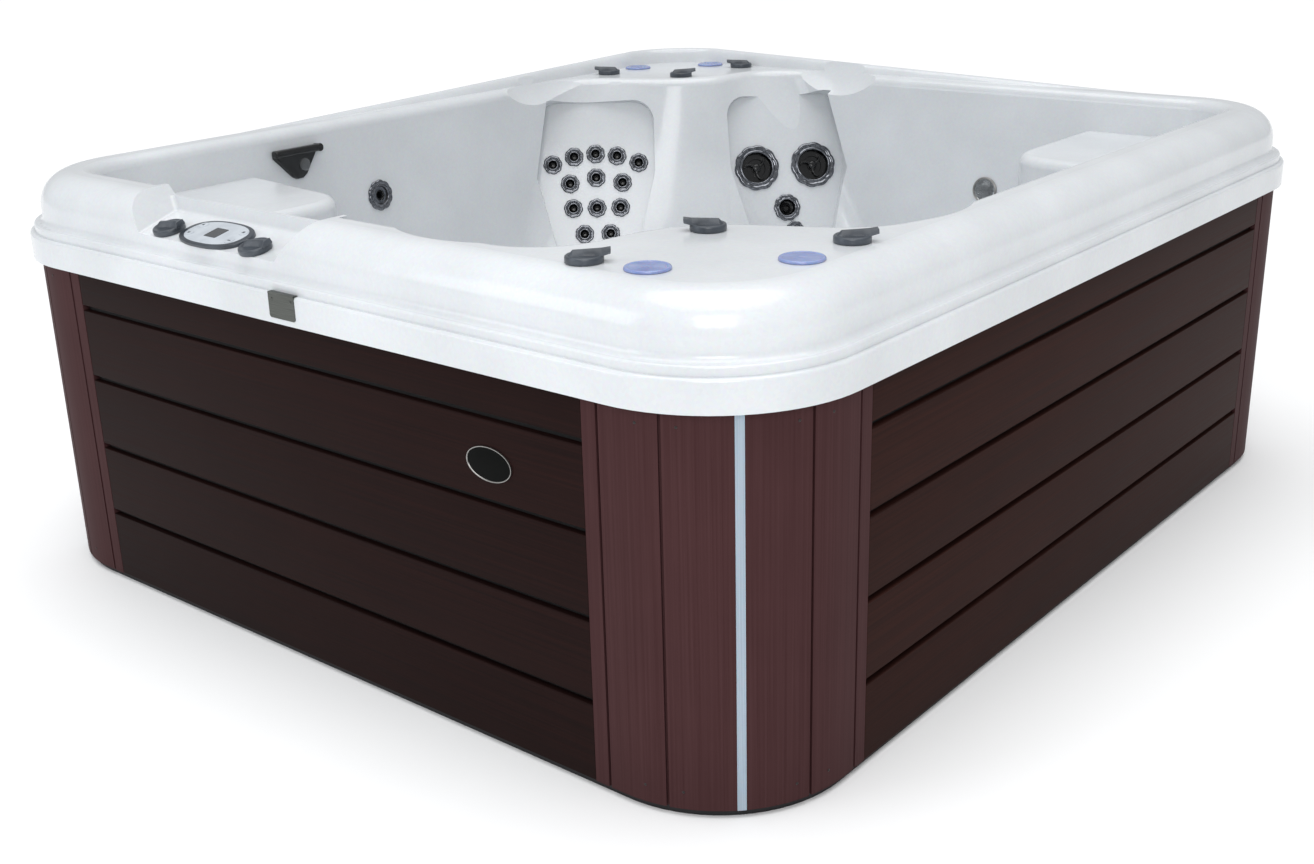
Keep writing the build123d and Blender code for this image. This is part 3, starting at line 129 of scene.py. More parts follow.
def makeSurround():
    world = bpy.data.worlds.new("studio")
    world.use_nodes = True
    background = world.node_tree.nodes["Background"]
    background.inputs["Color"].default_value = linearColour(surround["colour"])
    background.inputs["Strength"].default_value = surround["strength"]
    bpy.context.scene.world = world
    bpy.context.scene.view_settings.view_transform = "Standard"


makeLights()
makeSurround()
print("lights made")


# Materials
def addNode(tree, kind, settings=None, inputs=None):
    # One node with its settings; an input is a value, or a socket to link
    node = tree.nodes.new(kind)
    for key, value in (settings or {}).items():
        setattr(node, key, value)
    for key, value in (inputs or {}).items():
        if isinstance(value, bpy.types.NodeSocket):
            tree.links.new(value, node.inputs[key])
        else:
            node.inputs[key].default_value = value
    return node


def startMaterial(name, uniform):
    # The uniform values go on the shader's own sockets
    material = bpy.data.materials.new(name)
    material.use_nodes = True
    tree = material.node_tree
    shader = tree.nodes["Principled BSDF"]
    for key, value in uniform.items():
        shader.inputs[key].default_value = value
    coordinates = addNode(tree, "ShaderNodeTexCoord").outputs["Object"]
    return material, tree, shader, coordinates


def patternScale(millimetres):
    # Repeats per metre for a feature of this real size
    return 1000 / millimetres


def stretched(tree, coordinates, sizes):
    # Coordinates scaled so that a unit noise has these real sizes in mm along x, y and z
    return addNode(tree, "ShaderNodeMapping", {"vector_type": "POINT"}, {
        "Vector": coordinates, "Scale": tuple(patternScale(size) for size in sizes)}).outputs["Vector"]


def mottle(tree, coordinates, scale, dark, light, low=0.35, high=0.65, detail=4.0):
    # A soft noise between two colours; returns the colour and the noise
    noise = addNode(tree, "ShaderNodeTexNoise", None, {
        "Vector": coordinates, "Scale": scale, "Detail": detail})
    ramp = addNode(tree, "ShaderNodeValToRGB", None, {"Fac": noise.outputs["Fac"]})
    ramp.color_ramp.elements[0].position = low
    ramp.color_ramp.elements[0].color = linearColour(dark)
    ramp.color_ramp.elements[1].position = high
    ramp.color_ramp.elements[1].color = linearColour(light)
    return ramp.outputs["Color"], noise.outputs["Fac"]


def roughRange(tree, factor, low, high):
    # A 0 to 1 pattern spread over this range
    return addNode(tree, "ShaderNodeMapRange", None, {
        "Value": factor, "To Min": low, "To Max": high}).outputs["Result"]


def addBump(tree, shader, height, distance):
    # Relief of this depth in mm
    bump = addNode(tree, "ShaderNodeBump", None, {
        "Height": height, "Distance": distance * mm, "Strength": 1.0})
    tree.links.new(bump.outputs["Normal"], shader.inputs["Normal"])


def pearlAcrylic():
    # Cast acrylic sheet with pearl pigment, vacuum formed: glassy skin with a very faint orange peel
    material, tree, shader, coordinates = startMaterial("pearlAcrylicVacuumFormed", {
        "IOR": 1.49, "Coat Weight": 0.25, "Coat Roughness": 0.08})
    colour, cloud = mottle(tree, coordinates, patternScale(240), "#D1D4D7", "#DDE0E3", 0.3, 0.7, 6.0)
    fleck = addNode(tree, "ShaderNodeTexVoronoi", None, {"Vector": coordinates, "Scale": patternScale(5)})
    shine = addNode(tree, "ShaderNodeMix", {"data_type": "RGBA", "blend_type": "MULTIPLY"}, {
        "Factor": 0.05, "A": colour, "B": fleck.outputs["Color"]})
    tree.links.new(shine.outputs["Result"], shader.inputs["Base Color"])
    tree.links.new(roughRange(tree, cloud, 0.16, 0.28), shader.inputs["Roughness"])
    peel = addNode(tree, "ShaderNodeTexNoise", None, {
        "Vector": coordinates, "Scale": patternScale(9), "Detail": 2.0})
    addBump(tree, shader, peel.outputs["Fac"], 0.12)
    return material


def compositeBoard(name, along, dark, light, grainDepth=0.35):
    # Wood and polymer board, extruded and brushed: fine grain runs along the board, matt with a low sheen.
    # The boardTone attribute makes one board a little lighter or darker than the next.
    material, tree, shader, coordinates = startMaterial(name, {"IOR": 1.5, "Specular IOR Level": 0.06})
    sizes = [4.0, 4.0, 4.0]
    sizes[along] = 420.0
    grain = stretched(tree, coordinates, sizes)
    colour, streak = mottle(tree, grain, 1.0, dark, light, 0.3, 0.72, 5.0)
    cloud = addNode(tree, "ShaderNodeTexNoise", None, {
        "Vector": coordinates, "Scale": patternScale(160), "Detail": 3.0})
    tone = addNode(tree, "ShaderNodeAttribute", {"attribute_name": "boardTone"})
    shade = addNode(tree, "ShaderNodeMath", {"operation": "ADD"}, {
        0: roughRange(tree, cloud.outputs["Fac"], 0.86, 1.1), 1: tone.outputs["Fac"]})
    mixed = addNode(tree, "ShaderNodeVectorMath", {"operation": "SCALE"}, {
        "Vector": colour, "Scale": shade.outputs["Value"]})
    tree.links.new(mixed.outputs["Vector"], shader.inputs["Base Color"])
    tree.links.new(roughRange(tree, streak, 0.5, 0.68), shader.inputs["Roughness"])
    addBump(tree, shader, streak, grainDepth)
    return material


def mouldedPlastic(name, dark, light, roughLow, roughHigh, grainSize=0.9, bump=0.04, uniform=None):
    # Injection moulded plastic with a spark-eroded grain, a little uneven in its gloss
    material, tree, shader, coordinates = startMaterial(name, {"IOR": 1.5, **(uniform or {})})
    colour, cloud = mottle(tree, coordinates, patternScale(35), dark, light)
    tree.links.new(colour, shader.inputs["Base Color"])
    tree.links.new(roughRange(tree, cloud, roughLow, roughHigh), shader.inputs["Roughness"])
    grain = addNode(tree, "ShaderNodeTexNoise", None, {
        "Vector": coordinates, "Scale": patternScale(grainSize), "Detail": 2.0})
    addBump(tree, shader, grain.outputs["Fac"], bump)
    return material


def platedChrome():
    # Chrome plated on moulded ABS, with faint water spots in its gloss. Its base colour is painted dark, a
    # painted reflection of a dark surround, so the mirror reads dark.
    material, tree, shader, coordinates = startMaterial("chromePlatedPaintedDarkReflection", {"Metallic": 1.0})
    # The dark colour range is a painted reflection standing in for the dark room that the chrome would
    # mirror
    colour, spots = mottle(tree, coordinates, patternScale(7), "#5E6065", "#7C7E83", 0.35, 0.6)
    tree.links.new(colour, shader.inputs["Base Color"])
    tree.links.new(roughRange(tree, spots, 0.04, 0.1), shader.inputs["Roughness"])
    return material


def brushedMetal(name, dark, light, along):
    # Stainless sheet with a linishing grain: hair lines 0.4 mm apart, drawn at 0.8 mm so that they show
    material, tree, shader, coordinates = startMaterial(name, {"Metallic": 1.0})
    sizes = [0.8, 0.8, 0.8]
    sizes[along] = 60.0
    colour, lines = mottle(tree, stretched(tree, coordinates, sizes), 1.0, dark, light)
    tree.links.new(colour, shader.inputs["Base Color"])
    tree.links.new(roughRange(tree, lines, 0.25, 0.42), shader.inputs["Roughness"])
    addBump(tree, shader, lines, 0.03)
    return material


def opalDiffuser():
    # Extruded opal polycarbonate: matt skin, a little light passes inside, draw lines run upwards
    material, tree, shader, coordinates = startMaterial("opalPolycarbonateExtruded", {
        "IOR": 1.58, "Subsurface Weight": 0.2, "Subsurface Scale": 4 * mm})
    colour, lines = mottle(tree, stretched(tree, coordinates, (1.5, 1.5, 300)), 1.0, "#93A3B2", "#A5B3C0")
    tree.links.new(colour, shader.inputs["Base Color"])
    tree.links.new(roughRange(tree, lines, 0.3, 0.42), shader.inputs["Roughness"])
    addBump(tree, shader, lines, 0.03)
    return material


def tintedLens():
    # Blue translucent polycarbonate, moulded, frosted on its back: milky depth under a polished face
    material, tree, shader, coordinates = startMaterial("bluePolycarbonateFrosted", {
        "IOR": 1.58, "Subsurface Weight": 0.35, "Subsurface Scale": 5 * mm,
        "Coat Weight": 0.4, "Coat Roughness": 0.04})
    colour, cloud = mottle(tree, coordinates, patternScale(30), "#7383B8", "#93A2CE", 0.25, 0.75)
    tree.links.new(colour, shader.inputs["Base Color"])
    tree.links.new(roughRange(tree, cloud, 0.18, 0.3), shader.inputs["Roughness"])
    return material


def clearLens():
    # Clear acrylic, polished by its mould: glassy with slight flow streaks
    material, tree, shader, coordinates = startMaterial("clearAcrylicMoulded", {
        "IOR": 1.49, "Transmission Weight": 0.92, "Base Color": linearColour("#EEF3F7")})
    flow = addNode(tree, "ShaderNodeTexNoise", None, {"Vector": coordinates, "Scale": patternScale(12)})
    tree.links.new(roughRange(tree, flow.outputs["Fac"], 0.03, 0.1), shader.inputs["Roughness"])
    addBump(tree, shader, flow.outputs["Fac"], 0.05)
    return material


def sawnTimber():
    # Sawn pine, preserved: rings show as long darker bands, wide as the wave node draws them, dull and open
    material, tree, shader, coordinates = startMaterial("sawnPine", {"IOR": 1.45})
    wave = addNode(tree, "ShaderNodeTexWave", {"wave_type": "BANDS", "bands_direction": "DIAGONAL"}, {
        "Vector": coordinates, "Scale": patternScale(280), "Distortion": 7.0, "Detail": 3.0})
    ramp = addNode(tree, "ShaderNodeValToRGB", None, {"Fac": wave.outputs["Fac"]})
    ramp.color_ramp.elements[0].color = linearColour("#A98A5C")
    ramp.color_ramp.elements[1].color = linearColour("#C9AE80")
    tree.links.new(ramp.outputs["Color"], shader.inputs["Base Color"])
    tree.links.new(roughRange(tree, wave.outputs["Fac"], 0.62, 0.8), shader.inputs["Roughness"])
    addBump(tree, shader, wave.outputs["Fac"], 0.2)
    return material


def pleatedPaper():
    # Spun polyester filter paper: soft matt felt of fine fibres, 0.5 mm, drawn at 1.2 mm
    material, tree, shader, coordinates = startMaterial("spunPolyesterFelt", {"Sheen Weight": 0.2})
    colour, felt = mottle(tree, coordinates, patternScale(1.2), "#DAD9D0", "#EFEFE8")
    tree.links.new(colour, shader.inputs["Base Color"])
    tree.links.new(roughRange(tree, felt, 0.85, 0.95), shader.inputs["Roughness"])
    addBump(tree, shader, felt, 0.1)
    return material


materials = {
    "shell": pearlAcrylic(),
    # One board material in two colours: the x-running boards (front and back) carry painted shade, the
    # y-running boards (sides) carry painted light
    "boardXPaintedShade": compositeBoard("compositeBoardAlongXPaintedShade", 0, "#190D0C", "#241311"),
    "boardYPaintedLight": compositeBoard("compositeBoardAlongYPaintedLight", 1, "#24120F", "#331B16"),
    "boardUp": compositeBoard("compositeBoardUpright", 2, "#3F2627", "#482F30", 0.12),
    # Near-black backing in the grooves: partly a dark joint, partly painted shade in the grooves
    "grooveBackPaintedShade": mouldedPlastic("grooveBackingDarkWithPaintedShade", "#0B0A0A", "#131111", 0.7, 0.85),
    "chrome": platedChrome(),
    "jetBlack": mouldedPlastic("jetAbsGlossBlack", "#08090A", "#111214", 0.15, 0.3),
    "knobGrey": mouldedPlastic("knobAbsGraphite", "#353A41", "#474D55", 0.25, 0.38, 0.8, 0.06),
    "bezelGrey": mouldedPlastic("bezelAbsDark", "#2E333A", "#3B4149", 0.25, 0.4),
    "faceGrey": mouldedPlastic("overlayPolyesterGrey", "#B4BAC1", "#C3C9CF", 0.3, 0.42),
    "markDark": mouldedPlastic("printedMarkInk", "#3C4148", "#4A4F57", 0.5, 0.6),
    "display": mouldedPlastic("displayWindowSmoked", "#191D22", "#242A30", 0.06, 0.12, 6.0, 0.01,
                              {"Coat Weight": 0.5}),
    "strip": opalDiffuser(),
    "clipSteel": brushedMetal("stainlessBrushedDark", "#4D4F4C", "#646662", 0),
    "rimSteel": brushedMetal("stainlessRim", "#8C8A88", "#A7A5A2", 2),
    "badge": mouldedPlastic("badgeEnamelBlack", "#060706", "#0B0C0B", 0.4, 0.55, 0.9, 0.04,
                            {"Specular IOR Level": 0.04}),
    "screw": mouldedPlastic("screwCoatedBrown", "#1A1211", "#261B19", 0.4, 0.55),
    "lensBlue": tintedLens(),
    "lensClear": clearLens(),
    "panBlack": mouldedPlastic("panAbsThermoformed", "#0E0E10", "#17171A", 0.55, 0.7, 2.5, 0.15),
    "timber": sawnTimber(),
    "pipe": mouldedPlastic("pipePvcWhite", "#D7D8D4", "#E3E4E0", 0.35, 0.5),
    "coverWhite": mouldedPlastic("coverAbsWhite", "#D4D8DB", "#E2E6E8", 0.28, 0.4),
    "paper": pleatedPaper(),
    "motor": mouldedPlastic("motorPowderCoat", "#343A42", "#424952", 0.4, 0.55, 1.5, 0.12),
    "pumpBlack": mouldedPlastic("pumpGlassFilledNylon", "#101114", "#1A1C20", 0.45, 0.6, 1.6, 0.1),
    "impeller": mouldedPlastic("impellerNorylGrey", "#43474B", "#51565B", 0.4, 0.5),
    "boxGrey": mouldedPlastic("controlBoxPowderCoat", "#6E737A", "#7F858C", 0.45, 0.6, 1.5, 0.12),
}
print("materials made,", len(materials))


# Mesh helpers
mergeDistances = {"profile": 0.01, "piece": 0.005}


def spinProfile(bm, profile, steps):
    # Profile points are (radius, height) in mm; the full spin is closed and its poles are merged
    points = [bm.verts.new((radius * mm, 0, height * mm)) for radius, height in profile]
    edges = [bm.edges.new(pair) for pair in zip(points, points[1:])]
    bmesh.ops.spin(bm, geom=points + edges, cent=(0, 0, 0), axis=(0, 0, 1), dvec=(0, 0, 0),
                   angle=tau, steps=steps, use_merge=True, use_duplicate=False)
    bmesh.ops.remove_doubles(bm, verts=bm.verts, dist=mergeDistances["profile"] * mm)


def scallop(bm, lobes, fromRadius, depth):
    # Pushes the rim in and out so that it has this many lobes, broad outside and sharp between
    middle = 0.6
    for vert in bm.verts:
        if vert.co.xy.length > fromRadius * mm:
            angle = vert.co.xy.angle_signed(Vector((1, 0)), 0.0)
            vert.co.xy *= 1 + depth * (abs(cos(lobes * angle / 2)) - middle)


def plateFrom(bm, outline, low, high):
    # A flat plate between two heights from outline points in mm
    face = bm.faces.new([bm.verts.new((x * mm, y * mm, low * mm)) for x, y in outline])
    bmesh.ops.recalc_face_normals(bm, faces=[face])
    moved = bmesh.ops.extrude_face_region(bm, geom=[face])["geom"]
    upper = [item for item in moved if isinstance(item, bmesh.types.BMVert)]
    bmesh.ops.translate(bm, vec=(0, 0, (high - low) * mm), verts=upper)


def box(bm, size, centre):
    # A box in mm, as its corner points
    made = bmesh.ops.create_cube(bm, size=1.0)["verts"]
    bmesh.ops.scale(bm, vec=[value * mm for value in size], verts=made)
    bmesh.ops.translate(bm, vec=[value * mm for value in centre], verts=made)
    return made


def edgesOf(verts):
    return list(dict.fromkeys(edge for vert in verts for edge in vert.link_edges))


def edgesAbove(bm, height):
    return [edge for edge in bm.edges if all(vert.co.z > height * mm for vert in edge.verts)]


def edgesAlong(edges, axis, least):
    # The edges that run this far along one axis, or further
    return [edge for edge in edges if abs(edge.verts[0].co[axis] - edge.verts[1].co[axis]) > least * mm]


def roundEdges(bm, edges, radius, segments=3):
    bmesh.ops.bevel(bm, geom=edges, offset=radius * mm, offset_type="OFFSET", affect="EDGES",
                    segments=segments, profile=0.5, material=-1, clamp_overlap=True)


def paint(bm, index, test):
    # Gives faces this material slot where the test holds for their middle, in mm
    for face in bm.faces:
        if test(face.calc_center_median() / mm, face):
            face.material_index = index


def addCopy(bm, part):
    # Moves one small mesh into another
    mesh = bpy.data.meshes.new("moved")
    part.to_mesh(mesh)
    part.free()
    bm.from_mesh(mesh)
    bpy.data.meshes.remove(mesh)


def axesOf(normal, turn):
    # Side, upward and outward directions of a piece that faces along the normal, turned in degrees
    nearlyUpright = 0.99
    normal = Vector(normal).normalized()
    across = Vector((-normal.y, normal.x, 0)).normalized()
    if abs(normal.z) > nearlyUpright:
        across = Vector((1, 0, 0))
    upward = normal.cross(across)
    side = across * cos(radians(turn)) + upward * sin(radians(turn))
    return side, normal.cross(side), normal


def settle(bm, place, normal, turn=0.0):
    # Moves a piece from the origin to its place, in metres, with its own z along the normal
    side, upward, outward = axesOf(normal, turn)
    matrix = Matrix((
        (side.x, upward.x, outward.x, place[0]),
        (side.y, upward.y, outward.y, place[1]),
        (side.z, upward.z, outward.z, place[2]),
        (0, 0, 0, 1)))
    bmesh.ops.transform(bm, matrix=matrix, verts=bm.verts)


def finishPiece(bm, name, materialKeys, body, replaced=(), smoothAngle=35):
    # Closes a mesh, rides it on its body and lets it stand for the CAD nodes that it replaces
    bmesh.ops.remove_doubles(bm, verts=bm.verts, dist=mergeDistances["piece"] * mm)
    bmesh.ops.recalc_face_normals(bm, faces=bm.faces)
    mesh = bpy.data.meshes.new(name)
    bm.to_mesh(mesh)
    bm.free()
    for key in materialKeys:
        mesh.materials.append(materials[key])
    mesh.shade_smooth()
    mesh.set_sharp_from_angle(angle=radians(smoothAngle))
    piece = bpy.data.objects.new(name, mesh)
    bpy.context.scene.collection.objects.link(piece)
    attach(piece, body)
    if replaced:
        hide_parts(*replaced)


def jointPlane(body):
    joint = joints[body]
    return Vector(joint["pos_m"]), Vector(joint["axis"])


# Floor
floorSettings = {"halfSize": 40, "cloud": 900, "dark": "#FAFAFA", "light": "#FCFCFC", "rough": (0.85, 0.95)}


def makeFloor():
    bm = bmesh.new()
    bmesh.ops.create_grid(bm, x_segments=1, y_segments=1, size=floorSettings["halfSize"])
    mesh = bpy.data.meshes.new("studioFloor")
    bm.to_mesh(mesh)
    bm.free()
    # Painted board, rolled on matt
    material, tree, shader, coordinates = startMaterial("paintedFloorPale", {"Specular IOR Level": 0.1})
    colour, cloud = mottle(tree, coordinates, patternScale(floorSettings["cloud"]),
                           floorSettings["dark"], floorSettings["light"])
    tree.links.new(colour, shader.inputs["Base Color"])
    tree.links.new(roughRange(tree, cloud, *floorSettings["rough"]), shader.inputs["Roughness"])
    mesh.materials.append(material)
    floor = bpy.data.objects.new("studioFloor", mesh)
    bpy.context.scene.collection.objects.link(floor)


makeFloor()


# Cabinet boards: five to a side, rounded at their edges, over a dark backing sheet whose near-black colour
# is partly the joints' own dark and partly painted shade in the grooves
boardSettings = {
    "boardDepth": 13.0,
    "edgeRadius": 2.2,
    "gapHeights": (155.0, 299.7, 444.4, 589.1),
    "gapWidth": 11.0,
    "tones": (-0.05, 0.04, -0.02, 0.06, 0.0),
    "backingGap": 0.2,
    "backingInset": 1.0,
    "backingEdge": 1.0,
    "tolerance": 0.01,
}


def makeBoards(node, body, along, materialKey):
    settings = boardSettings
    low, high = (Vector(corner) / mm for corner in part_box(node))
    across = 1 - along
    sign = 1 if low[across] > 0 else -1
    outer = high[across] if sign > 0 else low[across]
    inner = low[across] if sign > 0 else high[across]
    half = settings["gapWidth"] / 2
    heights = [low.z, *(z for gap in settings["gapHeights"] for z in (gap - half, gap + half)), high.z]
    bm = bmesh.new()
    toneLayer = bm.faces.layers.float.new("boardTone")
    for bottom, top, tone in zip(heights[::2], heights[1::2], settings["tones"]):
        size, centre = [0, 0, top - bottom], [0, 0, (top + bottom) / 2]
        size[along], centre[along] = high[along] - low[along], (high[along] + low[along]) / 2
        size[across] = settings["boardDepth"]
        centre[across] = outer - sign * settings["boardDepth"] / 2
        before = set(bm.faces)
        front = [edge for edge in edgesOf(box(bm, size, centre))
                 if all(abs(vert.co[across] / mm - outer) < settings["tolerance"] for vert in edge.verts)]
        roundEdges(bm, front, settings["edgeRadius"])
        for face in set(bm.faces) - before:
            face[toneLayer] = tone
    finishPiece(bm, node + "_boards", [materialKey], body, [node])
    bm = bmesh.new()
    inset = settings["backingInset"]
    size, centre = [0, 0, high.z - low.z - inset], [0, 0, (high.z + low.z) / 2]
    size[along], centre[along] = high[along] - low[along] - inset, (high[along] + low[along]) / 2
    size[across] = abs(outer - inner) - settings["boardDepth"] - settings["backingGap"]
    centre[across] = inner + sign * size[across] / 2
    roundEdges(bm, edgesOf(box(bm, size, centre)), settings["backingEdge"], segments=2)
    finishPiece(bm, node + "_backing", ["grooveBackPaintedShade"], body)


makeBoards("service_panel", "service_panel", 0, "boardXPaintedShade")
makeBoards("back_panel", "tub", 0, "boardXPaintedShade")
makeBoards("left_panel", "tub", 1, "boardYPaintedLight")
makeBoards("right_panel", "tub", 1, "boardYPaintedLight")
print("cabinet boards made")


# Screws that hold the corner boards, top and bottom
screwSettings = {
    "head": [(0, -0.6), (2.4, -0.6), (2.4, 0.2), (1.92, 0.72), (0.84, 0.9), (0.72, 0.27), (0, 0.27)],
    "steps": 16, "heights": (44.0, 640.0), "turns": (-35.96, -21.08, 21.08, 35.96),
    "cornerRadius": 246.0, "reachX": 719.0, "reachY": 865.0,
}


def makeScrews():
    settings = screwSettings
    bm = bmesh.new()
    for signX, signY, diagonal in ((1, -1, -45), (1, 1, 45), (-1, 1, 135), (-1, -1, -135)):
        for turn in settings["turns"]:
            angle = radians(diagonal + turn)
            outward = Vector((cos(angle), sin(angle), 0))
            for height in settings["heights"]:
                head = bmesh.new()
                spinProfile(head, settings["head"], settings["steps"])
                centre = Vector((signX * settings["reachX"], signY * settings["reachY"], height)) * mm
                settle(head, centre + outward * settings["cornerRadius"] * mm, outward)
                addCopy(bm, head)
    finishPiece(bm, "corner_board_screws", ["screw"], "tub")


makeScrews()
print("screws made")


# Jet faces: profiles from the barrel over the lobed rim, then down into the dark middle
smallJet = {
    "rim": [(13.2, -25.5), (13.0, 0.4), (25.4, 0.4), (25.6, 1.6), (24.6, 3.6), (22.6, 4.9), (20.2, 4.6),
            (18.0, 3.3), (16.4, 3.0), (15.2, 4.4), (14.0, 6.0), (12.6, 6.2), (11.6, 5.4)],
    "middle": [(11.0, 3.4), (10.4, 1.0), (9.6, -2.0), (6.6, -4.6), (5.8, -2.6), (4.4, -2.4), (3.6, -4.2),
               (3.4, -16.0), (0, -16.0)],
    "lobes": 8, "lobeFrom": 17.5, "lobeDepth": 0.075, "blackInside": 11.1,
}
mediumJet = {
    "rim": [(24.2, -25.5), (24.0, 0.4), (36.8, 0.4), (37.0, 2.0), (35.4, 4.6), (32.4, 5.8), (29.6, 4.9),
            (27.8, 3.9), (26.6, 4.8), (25.0, 6.2), (23.2, 6.3), (22.0, 5.2)],
    "middle": [(21.2, 2.4), (20.2, -3.0), (17.0, -7.0), (13.0, -8.2), (12.0, -4.4), (9.4, -3.0), (7.6, -4.4),
               (7.0, -18.0), (0, -18.0)],
    "lobes": 10, "lobeFrom": 27.5, "lobeDepth": 0.065, "blackInside": 21.3,
}
# The wall jet has the medium face on the small barrel
wallJet = {
    **mediumJet, "rim": smallJet["rim"][:2] + mediumJet["rim"][2:],
    "middle": [(21.2, 2.4), (20.2, 0.4), (16.4, -1.6), (12.6, -3.4), (11.4, -2.4), (9.4, -2.0), (7.6, -4.4),
               (7.0, -16.0), (0, -16.0)],
}
largeJet = {
    "rim": [(46.0, -33.5), (45.8, 0.4), (61.6, 0.4), (62.0, 2.2), (60.0, 5.2), (56.6, 7.2), (53.4, 6.4),
            (51.0, 4.8), (49.4, 4.6), (47.6, 6.6), (45.4, 7.8), (43.4, 7.6), (42.0, 6.2)],
    "middle": [(41.0, 3.0), (40.0, -2.0), (39.2, -9.9), (26.0, -10.0), (25.0, -12.5), (14.0, -12.5),
               (13.0, -10.0), (0, -10.0)],
    "lobes": 10, "lobeFrom": 50.0, "lobeDepth": 0.05, "blackInside": 41.2,
}
jetSettings = {"stepsPerLobe": 10, "blackAbove": -20.0}


def makeJet(form, name, place, normal, body, replaced, turn):
    bm = bmesh.new()
    spinProfile(bm, form["rim"] + form["middle"], form["lobes"] * jetSettings["stepsPerLobe"])
    scallop(bm, form["lobes"], form["lobeFrom"], form["lobeDepth"])
    paint(bm, 1, lambda centre, face:
          centre.xy.length < form["blackInside"] and centre.z > jetSettings["blackAbove"])
    settle(bm, place, normal, turn)
    finishPiece(bm, name, ["chrome", "jetBlack"], body, replaced, smoothAngle=50)


# Each turning jet's form and the turn of its lobes in degrees
turningJets = {
    **{"lounge_jet_%d" % index: (smallJet, 9 * index) for index in range(1, 14)},
    "massage_jet_low": (smallJet, 12),
    "wall_jet": (wallJet, 12),
    "massage_jet_centre": (mediumJet, 0),
    "massage_ring_left": (largeJet, 8),
    "massage_ring_right": (largeJet, 8),
}
for body, (form, turn) in turningJets.items():
    makeJet(form, body + "_face", *jointPlane(body), body, [body], turn)

# The two near seats: the direction of each back, and the places of its three fixed jets
nearSeats = [
    {"normal": (-0.6068, 0.7206, 0.33545), "jets": [
        (0.79991, -0.45811, 0.5871), (0.67103, -0.56663, 0.5871), (0.71587, -0.48909, 0.50163)]},
    {"normal": (-0.69408, 0.62715, 0.35347), "jets": [
        (0.42109, -0.82707, 0.58692), (0.30814, -0.95208, 0.58692), (0.34082, -0.86808, 0.50205)]},
]
nearJets = [(place, seat["normal"]) for seat in nearSeats for place in seat["jets"]]
for index, (place, normal) in enumerate(nearJets):
    makeJet(smallJet, "near_seat_jet_%d" % (index + 1), place, normal, "tub",
            ["near_seat_jets"] if index == 0 else [], 6 * index)
print("jets made")


# Rotors of the two large jets: three swept arms, narrow at the waist, on a domed hub
rotorSettings = {
    "hub": [(0, -9.4), (11.0, -9.4), (11.0, -1.0), (9.6, 1.0), (6.0, 2.4), (0, 2.9)], "hubSteps": 36,
    "arms": 3, "root": 4.0, "reach": 35.5, "armWidth": 9.0, "waistShare": 0.35, "sweep": 30.0,
    "floor": -9.4, "top": 0.6, "edge": 1.6, "steps": 8, "turn": 25.0,
}


def armOutline(settings, arm):
    outline = []
    for edge in (-1, 1):
        line = []
        for step in range(settings["steps"] + 1):
            share = step / settings["steps"]
            radius = settings["root"] + (settings["reach"] - settings["root"]) * share
            offset = edge * settings["armWidth"] * (1.0 - settings["waistShare"] * sin(pi * share)) / 2
            angle = radians(360 / settings["arms"] * arm + settings["sweep"] * share * share)
            along, across = cos(angle), sin(angle)
            line.append((radius * along - offset * across, radius * across + offset * along))
        outline += line if edge < 0 else line[::-1]
    return outline


def makeRotor(body):
    settings = rotorSettings
    bm = bmesh.new()
    spinProfile(bm, settings["hub"], settings["hubSteps"])
    for arm in range(settings["arms"]):
        blade = bmesh.new()
        plateFrom(blade, armOutline(settings, arm), settings["floor"], settings["top"])
        roundEdges(blade, edgesAbove(blade, 0), settings["edge"])
        addCopy(bm, blade)
    settle(bm, *jointPlane(body), settings["turn"])
    finishPiece(bm, body + "_wheel", ["jetBlack"], body, [body], smoothAngle=40)


makeRotor("massage_rotor_left")
makeRotor("massage_rotor_right")
print("rotors made")


# Knobs: a round base, and a grip with two slanting faces that runs out over the base as a flag.
# The stations along the grip give their place, foot and ridge heights and share of the full width.
knobSettings = {
    "base": [(0, 4.7), (24.6, 4.7), (24.8, 0.7), (29.4, 0.7), (30.0, 1.6), (30.0, 8.4), (29.4, 10.4),
             (27.8, 11.6), (25.6, 11.8), (24.6, 11.2), (0, 11.2)],
    "baseSteps": 72, "gripWidth": 25.0, "ridgeWidth": 5.0,
    "stations": [(-25.0, 9.6, 11.1, 0.9), (-17.0, 9.6, 19.0, 0.95), (0, 9.6, 19.8, 0.74),
                 (16.0, 9.6, 20.5, 0.82), (26.0, 10.6, 21.0, 1.0)],
    "flagTop": 21.5, "flagRidgeShare": 0.7, "edge": 1.2,
}


def makeKnob(body, turn, flagReach, flagThickness):
    settings = knobSettings
    bm = bmesh.new()
    spinProfile(bm, settings["base"], settings["baseSteps"])
    grip = bmesh.new()
    flag = (flagReach, settings["flagTop"] - flagThickness, settings["flagTop"], 1.0)
    rings = []
    for station in (*settings["stations"], flag):
        along, low, high, share = station
        half = settings["gripWidth"] * share / 2
        ridge = half * settings["flagRidgeShare"] if station == flag else settings["ridgeWidth"] / 2
        corners = ((-half, along, low), (half, along, low), (ridge, along, high), (-ridge, along, high))
        rings.append([grip.verts.new(Vector(corner) * mm) for corner in corners])
    for near, far in zip(rings, rings[1:]):
        for corner in range(4):
            after = (corner + 1) % 4
            grip.faces.new((near[corner], near[after], far[after], far[corner]))
    grip.faces.new(rings[0])
    grip.faces.new(rings[-1][::-1])
    bmesh.ops.recalc_face_normals(grip, faces=grip.faces)
    roundEdges(grip, grip.edges[:], settings["edge"])
    addCopy(bm, grip)
    settle(bm, *jointPlane(body), turn)
    finishPiece(bm, body + "_cap", ["knobGrey"], body, [body], smoothAngle=40)


